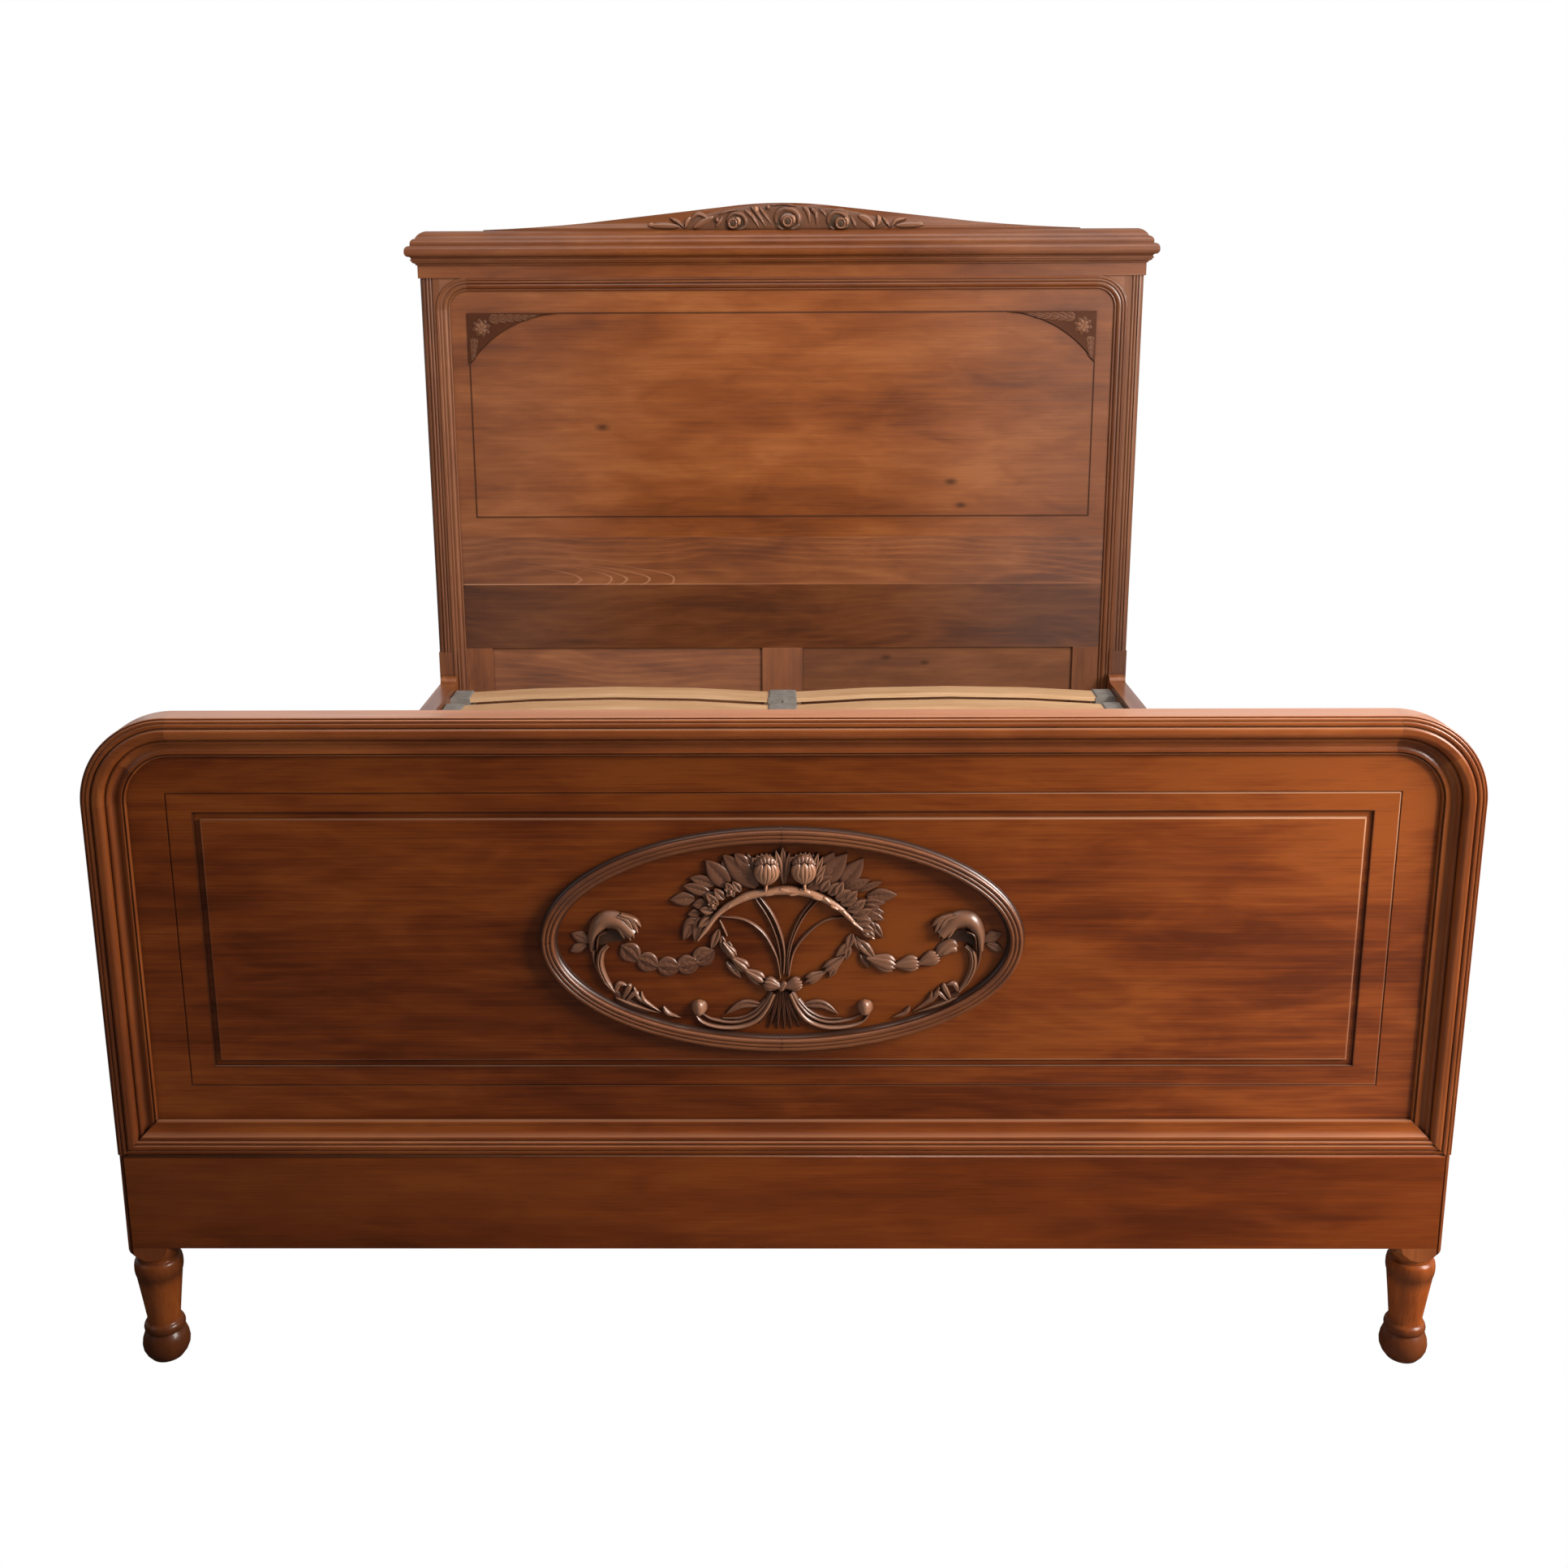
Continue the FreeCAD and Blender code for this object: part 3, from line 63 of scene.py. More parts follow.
# Colours, as linear light
WOOD_DARK = (0.150, 0.040, 0.0105)
WOOD_MID = (0.262, 0.078, 0.0200)
WOOD_LIGHT = (0.370, 0.130, 0.0400)
# Dark of knots, and of painted shade in recesses, grooves and under edges
DARK_KNOT_AND_SHADE = (0.030, 0.010, 0.005)
# Painted sheen: a grey reflection added to glossy surfaces
PAINTED_SHEEN = (0.35, 0.85, 1.0)
# Pale of grain loops, and of painted highlights on edges
PALE_GRAIN_AND_HIGHLIGHT = (0.46, 0.235, 0.135)
# Painted sheen on upward faces
PAINTED_TOP_SHEEN = (0.50, 0.270, 0.165)
# Warm tint that paints shade on the headboard panel's lower middle
AMBER = (0.82, 0.76, 0.52)
# Dark of grime and painted shade in the carving's hollows
CARVED_DARK = (0.028, 0.010, 0.005)
CARVED_MID = (0.094, 0.031, 0.014)
CARVED_GREY = (0.076, 0.030, 0.019)
# Paler high points of the carving: wear and painted highlight
CARVED_WEAR_AND_HIGHLIGHT = (0.46, 0.220, 0.120)
# Painted shade in the carving's eyes, hollows and ground
CARVED_PAINTED_SHADE = (0.040, 0.022, 0.010)
CARVED_CREST = (0.140, 0.052, 0.022)
HOLDER_DARK = (0.105, 0.093, 0.081)
HOLDER_LIGHT = (0.29, 0.27, 0.245)
STEEL = (0.52, 0.51, 0.49, 1.0)
WHITE = (1.0, 1.0, 1.0, 1.0)
SLAT_LOOK = (0.44, 0.250, 0.120), (0.67, 0.435, 0.25), 0.42
BEAM_LOOK = (0.36, 0.22, 0.11), (0.55, 0.38, 0.22), 0.6
BLOCK_LOOK = (0.30, 0.18, 0.09), (0.48, 0.32, 0.18), 0.6

# Lines on the boards: half width, bottom and top
FOOT_LINE = (0.743, 0.3963, 0.7825)
CHANNEL_OUTSIDE = (0.711, 0.4233, 0.7575)
CHANNEL_INSIDE = (0.7025, 0.4318, 0.749)
HEAD_LINE = (0.734, 0.805, 1.2855)
# Knots: place across, height and radius
HEAD_KNOTS = [(-0.425, 1.020, 0.008), (0.403, 0.888, 0.007), (0.428, 0.832, 0.006)]
LOWER_KNOTS = [(0.254, 0.456, 0.006), (0.349, 0.443, 0.005)]
# Pale loops of grain on the upper board: where each one ends, and its width
GRAIN_LOOPS = ((-0.473, 0.007), (-0.393, 0.005), (-0.360, 0.005), (-0.308, 0.0045), (-0.243, 0.0045))
LOOPS_HEIGHT = 0.6525
LOOPS_HALF = 0.030
UPPER_BOARD_EDGE = 0.6412
# Heights over which a turned foot's darkening fades: above the ball, and the painted shade below its collar
# and on it
BALL_FADE = (0.050, 0.066)
COLLAR_START = (0.112, 0.129)
COLLAR_END = (0.130, 0.146)
# How far out from the panel the ring is undarkened, and how far out its hollows are fully darkened by grime
# and painted shade
RING_UNDARKENED = 0.0082
RING_FULL_DARK = 0.0045


class Tree:
    """The nodes of a material or a world, added one at a time and wired as they are made."""

    def __init__(self, name, world=False):
        self.owner = (bpy.data.worlds if world else bpy.data.materials).new(name)
        self.owner.use_nodes = True
        self.nodes = self.owner.node_tree.nodes
        self.links = self.owner.node_tree.links
        self.nodes.clear()
        self.out = self.nodes.new("ShaderNodeOutput" + ("World" if world else "Material"))

    def put(self, socket, value):
        """Wires a socket to another, or sets its constant."""
        if isinstance(value, bpy.types.NodeSocket):
            self.links.new(value, socket)
        else:
            socket.default_value = value

    def add(self, kind, inputs=(), **settings):
        node = self.nodes.new("ShaderNode" + kind)
        for key, value in settings.items():
            setattr(node, key, value)
        for key, value in dict(inputs).items():
            self.put(node.inputs[key], value)
        return node

    def math(self, operation, *values):
        return self.add("Math", enumerate(values), operation=operation).outputs[0]

    def plus(self, *values):
        return self.math("ADD", *values)

    def minus(self, *values):
        return self.math("SUBTRACT", *values)

    def times(self, *values):
        return self.math("MULTIPLY", *values)

    def vector(self, operation, *values):
        return self.add("VectorMath", enumerate(values), operation=operation).outputs["Vector"]

    def stretched(self, place, along, across):
        return self.vector("MULTIPLY", place, (along, across, across))

    def scaled(self, vector, share):
        return self.add("VectorMath", {0: vector, "Scale": share}, operation="SCALE").outputs["Vector"]

    def normal(self, axis):
        """One axis of the way that the surface faces."""
        return self.add("SeparateXYZ", {"Vector": self.add("NewGeometry").outputs["Normal"]}).outputs[axis]

    def noise(self, place, detail=2.0, rough=0.5, distortion=0.0):
        node = self.add("TexNoise", {"Vector": place, "Scale": 1.0, "Detail": detail,
                                     "Roughness": rough, "Distortion": distortion})
        return node.outputs["Fac"]

    def span(self, value, low, high, to_low=0.0, to_high=1.0, smooth=False):
        node = self.add("MapRange", {"Value": value, "From Min": low, "From Max": high,
                                     "To Min": to_low, "To Max": to_high},
                        interpolation_type="SMOOTHSTEP" if smooth else "LINEAR")
        return node.outputs["Result"]

    def ramp(self, value, stops):
        node = self.add("ValToRGB", {"Fac": value})
        elements = node.color_ramp.elements
        stops = list(stops)
        while len(elements) < len(stops):
            elements.new(0.5)
        for element, (at, colour) in zip(elements, stops):
            element.position = at
            element.color = (*colour, 1.0)
        return node.outputs["Color"]

    def mix(self, factor, first, second, blend="MIX"):
        node = self.add("Mix", data_type="RGBA", blend_type=blend)
        self.put(node.inputs["Factor"], factor)
        for socket, value in ((node.inputs[6], first), (node.inputs[7], second)):
            self.put(socket, value if isinstance(value, bpy.types.NodeSocket) else (*value, 1.0))
        return node.outputs[2]

    def finish(self, shader):
        self.links.new(shader, self.out.inputs["Surface"])
        return self.owner

    def surface(self, inputs):
        """Ends the material in a principled shader."""
        return self.finish(self.add("BsdfPrincipled", inputs).outputs["BSDF"])


# How far each board's figure lies from the last one's
BOARD_SHIFT = (3.71, 1.93, 2.57)


def grain_place(tree, axis, seed):
    """The place along the grain as X, and across it as Y and Z, shifted so that boards differ."""
    where = tree.add("TexCoord").outputs["Object"]
    parts = tree.add("SeparateXYZ", {"Vector": where})
    order = {"x": "XYZ", "y": "YXZ", "z": "ZXY"}[axis]
    values = [parts.outputs["XYZ".index(c)] for c in order]
    turned = tree.add("CombineXYZ", zip("XYZ", values)).outputs["Vector"]
    return tree.vector("ADD", turned, tuple(seed * shift for shift in BOARD_SHIFT)), parts


# Layers of the wood's figure, clouds to pores: stretch along and across the grain, detail, roughness and
# distortion
FIGURE = ((2.0, 7.5, 2.0, 0.5, 0.4), (7.0, 24.0, 3.0, 0.55, 0.8), (2.2, 95.0, 3.0, 0.6, 0.2),
          (9.0, 520.0, 2.0, 0.65), (30.0, 1300.0, 1.0, 0.5))
CLOUD_SHARE = 1.25
MOTTLE_SHARE = 0.75
STREAK_SHARE = 0.42
LINE_SHARE = 0.55
# Ring bands: how close, how bent and how strong they are
BAND_PITCH = 260.0
BAND_BEND = 70.0
BAND_SHARE = 0.11
# What warmth does to red, green and blue, and where the three tints lie on the ramp
WARMING = (0.0, -0.55, -1.25)
TINT_PLACES = (0.12, 0.5, 0.88)
# Half the bed's width over which a node's painted light falloff and its painted top sheen are graded
FALLOFF_HALF = 0.8
# Reaches of the ambient occlusion: painted shade in the recesses of wood, grime and painted shade in the
# carving's hollows
PAINTED_SHADE_REACH = 0.007
CARVED_GRIME_AND_SHADE_REACH = 0.010


def wood(name, axis, seed, tone=1.0, warmth=0.0, contrast=1.0, bands=0.0, sheen=0.0, marks=None, falloff=None,
         polish=1.0):
    """Polished wood with its grain along one axis. The falloff is its painted light at the left, middle and
    right; the sheen is a painted grey reflection; recesses get painted shade.
    """
    tree = Tree(name)
    place, parts = grain_place(tree, axis, seed)
    cloud, mottle, streak, line, pores = (
        tree.noise(tree.stretched(place, along, across), *more) for along, across, *more in FIGURE)
    figure = tree.times(tree.minus(cloud, 0.5), CLOUD_SHARE)
    for part, share in ((mottle, MOTTLE_SHARE), (streak, STREAK_SHARE), (line, LINE_SHARE)):
        figure = tree.plus(figure, tree.times(tree.minus(part, 0.5), share))
    if bands:
        bend = tree.noise(tree.stretched(place, 1.6, 5.0), 1.5, 0.5)
        across = tree.add("SeparateXYZ", {"Vector": place})
        reach = tree.plus(across.outputs[1], across.outputs[2])
        phase = tree.plus(tree.times(reach, BAND_PITCH), tree.times(bend, BAND_BEND))
        rings = tree.math("POWER", tree.plus(tree.times(tree.math("SINE", phase), 0.5), 0.5), 3.0)
        figure = tree.plus(figure, tree.times(rings, BAND_SHARE * bands))
    share = tree.plus(tree.times(figure, contrast), 0.5)
    tint = [tuple(c * tone * (1 + warmth * k) for c, k in zip(colour, WARMING))
            for colour in (WOOD_DARK, WOOD_MID, WOOD_LIGHT)]
    colour = tree.ramp(share, zip(TINT_PLACES, tint))
    dots = tree.span(pores, 0.56, 0.72, 0.0, 0.25)
    colour = tree.mix(dots, colour, tint[0])
    # Painted sheen: a grey reflection added to the colour
    if sheen:
        colour = tree.mix(1.0, colour, tuple(sheen * k for k in PAINTED_SHEEN), "ADD")
    if marks:
        ahead = tree.normal("Y")
        marked = marks(tree, colour, parts.outputs["X"], parts.outputs["Z"])
        colour = tree.mix(tree.span(ahead, 0.2, 0.5, 1.0, 0.0), colour, marked)
    # Painted light falloff: the colour made lighter or darker from left to right
    if falloff:
        left, middle, right = falloff
        share = tree.plus(tree.span(parts.outputs["X"], -FALLOFF_HALF, 0.0, left, middle),
                          tree.span(parts.outputs["X"], 0.0, FALLOFF_HALF, 0.0, right - middle))
        colour = tree.scaled(colour, share)
    # Painted top sheen: upward faces of the footboard pieces made paler, more so to the right
    if name.startswith("foot_"):
        level = tree.normal("Z")
        top_sheen = tree.times(tree.span(level, 0.40, 0.85),
                           tree.span(parts.outputs["X"], -FALLOFF_HALF, FALLOFF_HALF, 0.30, 0.46))
        colour = tree.mix(top_sheen, colour, PAINTED_TOP_SHEEN)
    # Painted shade: darker in corners and recesses, found by ambient occlusion
    painted_shade = tree.add("AmbientOcclusion", {"Distance": PAINTED_SHADE_REACH}, samples=4).outputs["AO"]
    colour = tree.mix(tree.span(painted_shade, 0.20, 0.88, 0.70, 0.0), colour, DARK_KNOT_AND_SHADE)
    rough = tree.span(streak, 0.3, 0.7, 0.40, 0.32)
    bump = tree.add("Bump", {"Strength": 0.08, "Distance": 0.0004, "Height": line})
    soft = tree.add("Bevel", {"Radius": 0.0006}, samples=4)
    tree.put(bump.inputs["Normal"], soft.outputs["Normal"])
    coat = polish * (0.12 if sheen else 0.35 - 0.30 * warmth)
    return tree.surface({
        "Base Color": colour, "Roughness": rough, "Normal": bump.outputs["Normal"],
        "Coat Weight": coat, "Coat Roughness": 0.14, "Specular IOR Level": polish * (0.40 - 0.28 * warmth)})


def outline_distance(tree, x, z, half, low, high):
    """How far a place lies outside an upright rectangle, less than nothing inside it, in metres."""
    across = tree.minus(tree.math("ABSOLUTE", x), half)
    up = tree.minus(tree.math("ABSOLUTE", tree.minus(z, (low + high) / 2)), (high - low) / 2)
    return tree.math("MAXIMUM", across, up)


def near(tree, distance, at, width):
    """One where a distance is within half a width of a value, fading to nothing."""
    off = tree.math("ABSOLUTE", tree.minus(distance, at))
    return tree.span(off, width * 0.3, width * 0.8, 1.0, 0.0)


def knots(tree, colour, x, z, places):
    """Small dark knots."""
    for at_x, at_z, radius in places:
        along = tree.times(tree.minus(x, at_x), 0.55)
        up = tree.minus(z, at_z)
        reach = tree.math("SQRT", tree.plus(tree.times(along, along),
                                            tree.times(up, up)))
        colour = tree.mix(tree.span(reach, radius * 0.3, radius * 1.6, 0.75, 0.0), colour, DARK_KNOT_AND_SHADE)
    return colour


def foot_panel_marks(tree, colour, x, z):
    """Painted highlights on the edges of the panel's line and channel field, a painted shadow along the
    channel's outer edge, and a painted sheen to the right.
    """
    side = tree.span(x, -0.72, 0.55, 0.12, 1.0)
    line = outline_distance(tree, x, z, *FOOT_LINE)
    field = outline_distance(tree, x, z, *CHANNEL_INSIDE)
    rail = outline_distance(tree, x, z, *CHANNEL_OUTSIDE)
    level = tree.span(z, 0.60, 0.74, 0.30, 1.0)
    # Painted highlight where the raised field's edge catches the light, more to the right and top
    lit_edge = tree.times(near(tree, field, -0.0004, 0.0020), tree.times(side, level))
    # Painted sheen growing towards the right
    colour = tree.mix(1.0, colour, tree.scaled(PAINTED_SHEEN, tree.span(x, 0.10, 0.75, 0.0, 0.0035)), "ADD")
    colour = tree.mix(lit_edge, colour, PALE_GRAIN_AND_HIGHLIGHT)
    # Painted shadow along the channel's outer edge
    colour = tree.mix(tree.times(near(tree, rail, 0.0, 0.0022), 0.65), colour, DARK_KNOT_AND_SHADE)
    glint = tree.times(near(tree, line, -0.0018, 0.0016),
                      tree.times(tree.span(x, -0.1, 0.5, 0.0, 0.85), level))
    return tree.mix(glint, colour, PALE_GRAIN_AND_HIGHLIGHT)


def side_sheen(tree, colour, x, z):
    """A painted grey sheen that grows towards the sides."""
    right = tree.span(x, 0.15, 0.70, 0.0, 0.020, smooth=True)
    left = tree.span(x, -0.25, -0.70, 0.0, 0.013, smooth=True)
    return tree.mix(1.0, colour, tree.scaled(PAINTED_SHEEN, tree.plus(right, left)), "ADD")


def head_panel_marks(tree, colour, x, z):
    """Painted sheen towards the sides, painted shade on the lower middle, knots, and painted shade in the
    incised line.
    """
    colour = side_sheen(tree, colour, x, z)
    # Painted shade: the lower middle made darker and warmer
    lower_shade = tree.times(tree.span(z, 0.80, 1.02, 0.75, 0.0, smooth=True),
                     tree.span(tree.math("ABSOLUTE", x), 0.15, 0.60, 1.0, 0.0, smooth=True))
    colour = tree.mix(lower_shade, colour, AMBER, "MULTIPLY")
    colour = knots(tree, colour, x, z, HEAD_KNOTS)
    # Painted shade in the incised line
    line = outline_distance(tree, x, z, *HEAD_LINE)
    plain = tree.span(z, 1.160, 1.170, 1.0, 0.0)
    level = tree.span(tree.math("ABSOLUTE", x), 0.515, 0.53, 1.0, 0.0)
    groove_shade = tree.times(near(tree, line, -0.0009, 0.0042), tree.math("MAXIMUM", plain, level))
    return tree.mix(tree.times(groove_shade, 0.6), colour, DARK_KNOT_AND_SHADE)


def lower_board_marks(tree, colour, x, z):
    return knots(tree, colour, x, z, LOWER_KNOTS)


def upper_board_marks(tree, colour, x, z):
    """Painted sheen towards the sides, nested loops of pale grain at the lower left, and a pale lower edge,
    partly wear and partly painted highlight.
    """
    colour = side_sheen(tree, colour, x, z)
    ripple = tree.noise(tree.add("CombineXYZ", {"X": tree.times(x, 9.0),
                                                "Y": tree.times(z, 30.0)}).outputs[0], 2.0)
    up = tree.times(tree.minus(z, LOOPS_HEIGHT), 1 / LOOPS_HALF)
    bend = tree.plus(tree.times(tree.times(up, up), 0.100),
                     tree.times(ripple, 0.030))
    reach = tree.plus(x, bend)
    fade = tree.times(tree.span(z, 0.672, 0.722, 1.0, 0.0), tree.span(x, -0.62, -0.36, 0.35, 1.0))
    for at, width in GRAIN_LOOPS:
        loop = tree.times(near(tree, reach, at, width), fade)
        colour = tree.mix(tree.times(loop, 0.50), colour, PALE_GRAIN_AND_HIGHLIGHT)
    # Pale lower edge: partly wear, partly painted highlight
    edge = tree.times(near(tree, z, UPPER_BOARD_EDGE, 0.0032), tree.span(x, -0.70, 0.10, 0.65, 0.12))
    return tree.mix(edge, colour, PALE_GRAIN_AND_HIGHLIGHT)


def foot_marks(tree, colour, x, z):
    """Darker round the ball and the collars of a turned foot, with painted shade under the upper collar."""
    ball = tree.span(z, *BALL_FADE, 0.66, 0.0, smooth=True)
    # Painted shade on the lower part of the upper collar
    neck = tree.times(tree.span(z, *COLLAR_START, 0.0, 0.55, smooth=True),
                     tree.span(z, *COLLAR_END, 1.0, 0.35))
    return tree.mix(tree.math("MAXIMUM", ball, neck), colour, DARK_KNOT_AND_SHADE)


def ring_marks(tree, colour, x, z):
    """Grime and painted shade in the hollows on both sides of the ring's reeds."""
    depth = tree.add("SeparateXYZ", {"Vector": tree.add("TexCoord").outputs["Object"]}).outputs["Y"]
    # Grime and painted shade, stronger nearer the panel
    deep = tree.span(depth, OVAL_CENTRE.y - RING_UNDARKENED, OVAL_CENTRE.y - RING_FULL_DARK, 0.0, 0.82)
    return tree.mix(deep, colour, DARK_KNOT_AND_SHADE)


MARKS = {"medallion_ring": ring_marks, "cornice_front": side_sheen, "head_frieze": side_sheen,
         "crest": side_sheen, "head_top_rail": side_sheen, "head_mid_rail": side_sheen,
         "foot_panel": foot_panel_marks, "head_panel": head_panel_marks,
         "head_upper_board": upper_board_marks,
         "head_lower_panel_right": lower_board_marks, "front_feet": foot_marks}


def carved(name, seed, worn=1.0, dark=1.0, mid=CARVED_MID, shine=1.0, ridges=1.0):
    """Carved wood: grime and painted shade in the hollows, paler high points from wear and painted highlight,
    and painted shade where marked darker.
    """
    tree = Tree(name)
    place = grain_place(tree, "x", seed)[0]
    cloud = tree.noise(tree.stretched(place, 22.0, 30.0), 3.0, 0.6)
    streak = tree.noise(tree.stretched(place, 90.0, 700.0), 3.0, 0.6)
    wear_and_light = tree.add("Attribute", attribute_name="worn").outputs["Fac"]
    high = tree.span(tree.add("NewGeometry").outputs["Pointiness"], 0.50, 0.57, smooth=True)
    # Grime and painted shade in the hollows, found by ambient occlusion
    depth = tree.add("AmbientOcclusion", {"Distance": CARVED_GRIME_AND_SHADE_REACH}, samples=8).outputs["AO"]
    open_share = tree.span(depth, 0.20, 0.92, smooth=True)
    colour = tree.mix(open_share, tuple(c * dark for c in CARVED_DARK), tuple(c * dark for c in mid))
    grey = tree.span(cloud, 0.40, 0.68, 0.0, 0.45)
    colour = tree.mix(grey, colour, tuple(c * dark for c in CARVED_GREY))
    # Paler high points: wear and painted highlight
    ridge = tree.times(high, tree.span(cloud, 0.3, 0.7, 0.35 * ridges, 0.8 * ridges))
    wear_and_highlight = tree.times(tree.math("MAXIMUM", ridge, wear_and_light), open_share)
    colour = tree.mix(tree.times(wear_and_highlight, worn), colour, CARVED_WEAR_AND_HIGHLIGHT)
    # Painted shade where the mark is below nothing
    colour = tree.mix(tree.span(wear_and_light, -1.0, 0.0, 1.0, 0.0), colour, CARVED_PAINTED_SHADE)
    bump = tree.add("Bump", {"Strength": 0.5, "Distance": 0.0005, "Height": streak})
    return tree.surface({
        "Base Color": colour, "Roughness": tree.span(cloud, 0.3, 0.7, 0.42, 0.30),
        "Normal": bump.outputs["Normal"], "Coat Weight": 0.30 * shine, "Coat Roughness": 0.20,
        "Specular IOR Level": 0.52 * shine})


def plain_wood(name, axis, seed, dark, light, gloss):
    """Pale wood with a straight grain."""
    tree = Tree(name)
    place = grain_place(tree, axis, seed)[0]
    cloud = tree.noise(tree.stretched(place, 2.5, 22.0), 3.0, 0.5)
    streak = tree.noise(tree.stretched(place, 8.0, 260.0), 3.0, 0.6)
    share = tree.plus(tree.times(cloud, 0.5), tree.times(streak, 0.5))
    colour = tree.ramp(tree.span(share, 0.32, 0.68), [(0.0, dark), (1.0, light)])
    bump = tree.add("Bump", {"Strength": 0.08, "Distance": 0.0004, "Height": streak})
    return tree.surface({
        "Base Color": colour, "Roughness": gloss, "Normal": bump.outputs["Normal"],
        "Specular IOR Level": 0.4})


def holder_material():
    tree = Tree("holder_grey")
    where = tree.add("TexCoord").outputs["Object"]
    weave = tree.noise(tree.stretched(where, 700.0, 1500.0), 2.0, 0.6)
    mottle = tree.noise(tree.stretched(where, 45.0, 60.0), 2.0, 0.5)
    share = tree.plus(tree.times(weave, 0.6), tree.times(mottle, 0.4))
    colour = tree.ramp(tree.span(share, 0.3, 0.7), [(0.0, HOLDER_DARK), (1.0, HOLDER_LIGHT)])
    bump = tree.add("Bump", {"Strength": 0.5, "Distance": 0.0006, "Height": weave})
    return tree.surface({"Base Color": colour, "Roughness": 0.75,
                                         "Normal": bump.outputs["Normal"], "Specular IOR Level": 0.3})


def steel_material():
    tree = Tree("brushed_steel")
    where = tree.add("TexCoord").outputs["Object"]
    lines = tree.noise(tree.vector("MULTIPLY", where, (900.0, 900.0, 30.0)), 2.0, 0.6)
    return tree.surface({
        "Base Color": STEEL, "Metallic": 1.0, "Roughness": tree.span(lines, 0.3, 0.7, 0.30, 0.45)})


# Which way each wooden node's grain runs, its tone, warmth, contrast, ring bands and painted grey sheen
WOODS = {
    # The foot posts' tones also paint the light falling off from right to left
    "foot_post_left": ("z", 0.54, 0.40, 0.9, 0.3), "foot_post_right": ("z", 0.82, 0.30, 0.9, 0.3),
    "front_feet": ("z", 0.66, 0.45, 1.2, 0.3), "foot_corners_lower": ("z", 0.62, 0.40, 0.9, 0.3),
    "foot_corners_upper": ("x", 0.68, 0.40, 0.9, 0.3), "foot_top_rail": ("x", 0.80, 0.34, 0.9, 0.3),
    "foot_base_moulding": ("x", 0.63, 0.50, 1.0, 0.3), "foot_apron": ("x", 0.58, 0.66, 1.0, 0.5),
    "foot_bottom_rail": ("x", 0.8, 0.4, 1.0, 0.3), "foot_panel": ("x", 0.57, 0.62, 1.5, 0.6),
    "medallion_ring": ("x", 0.58, 0.12, 0.8, 0.2, 0.004), "foot_frame_tenons": ("x", 1.0, 0.0, 1.0, 0.3),
    "head_post_left": ("z", 0.61, 0.0, 0.8, 0.3, 0.014), "head_post_right": ("z", 0.50, 0.0, 0.8, 0.3, 0.016),
    "head_top_rail": ("x", 0.69, 0.0, 1.0, 0.4, 0.012), "head_frieze": ("x", 0.71, 0.1, 0.9, 0.4),
    "cornice_front": ("x", 0.61, 0.12, 0.9, 0.3), "cornice_returns": ("y", 0.57, 0.0, 0.9, 0.3),
    "crest": ("x", 0.50, 0.10, 0.9, 0.3), "head_panel": ("x", 0.76, 0.05, 1.0, 0.0),
    "head_upper_board": ("x", 0.63, 0.05, 1.15, 1.6, 0.005),
    "head_mid_rail": ("x", 0.35, 0.20, 1.3, 0.8, 0.001),
    "head_lower_stile_left": ("z", 0.75, 0.0, 1.0, 0.4, 0.016),
    "head_lower_stile_right": ("z", 0.50, 0.0, 1.0, 0.4, 0.010),
    "head_muntin": ("z", 0.71, 0.0, 0.8, 0.3, 0.018),
    "head_lower_panel_left": ("x", 0.74, 0.0, 1.0, 1.4, 0.023),
    "head_lower_panel_right": ("x", 0.46, 0.0, 1.0, 0.8, 0.010),
    "head_bottom_rail": ("x", 0.7, 0.0, 1.0, 0.5, 0.005),
    "head_moulding_left": ("z", 0.68, 0.0, 0.8, 0.2, 0.016),
    "head_moulding_right": ("z", 0.48, 0.05, 0.8, 0.2, 0.007),
    "head_moulding_corners": ("x", 0.53, 0.05, 0.8, 0.2, 0.008),
    "head_moulding_top": ("x", 0.50, 0.25, 0.9, 0.2), "side_rail_left": ("y", 0.8, 0.0, 1.0, 0.5),
    "side_rail_right": ("y", 0.8, 0.0, 1.0, 0.5),
}
# Pale woods: which way the grain runs, dark and light colour, and gloss
PALE_SEED = 41
PALE = {
    "slats_left": ("x", *SLAT_LOOK), "slats_right": ("x", *SLAT_LOOK), "ledger_left": ("y", *BEAM_LOOK),
    "ledger_right": ("y", *BEAM_LOOK), "centre_beam": ("y", *BEAM_LOOK),
    "beam_block_head": ("x", *BLOCK_LOOK), "beam_block_foot": ("x", *BLOCK_LOOK),
    "beam_leg": ("z", *BEAM_LOOK),
}
# Painted light falloff: how much lighter or darker some nodes are painted at the bed's left, middle and
# right; and how glossy
PAINTED_FALLOFF = {
    "foot_panel": (0.84, 0.82, 1.42), "foot_apron": (0.60, 0.91, 1.14), "front_feet": (0.70, 1.0, 1.46),
    "foot_top_rail": (0.92, 1.0, 1.18), "foot_base_moulding": (0.80, 0.95, 1.20),
    "foot_corners_lower": (0.84, 1.0, 1.20), "foot_corners_upper": (0.86, 1.0, 1.15),
    "medallion_ring": (0.86, 0.96, 1.10), "head_panel": (0.95, 1.06, 0.80),
    "head_upper_board": (1.0, 0.97, 0.92), "cornice_front": (1.0, 0.96, 0.88),
    "head_frieze": (1.0, 0.95, 0.88),
}
POLISH = {"cornice_front": 0.65, "cornice_returns": 0.6, "crest": 0.6, "medallion_ring": 1.7,
          "front_feet": 0.6}


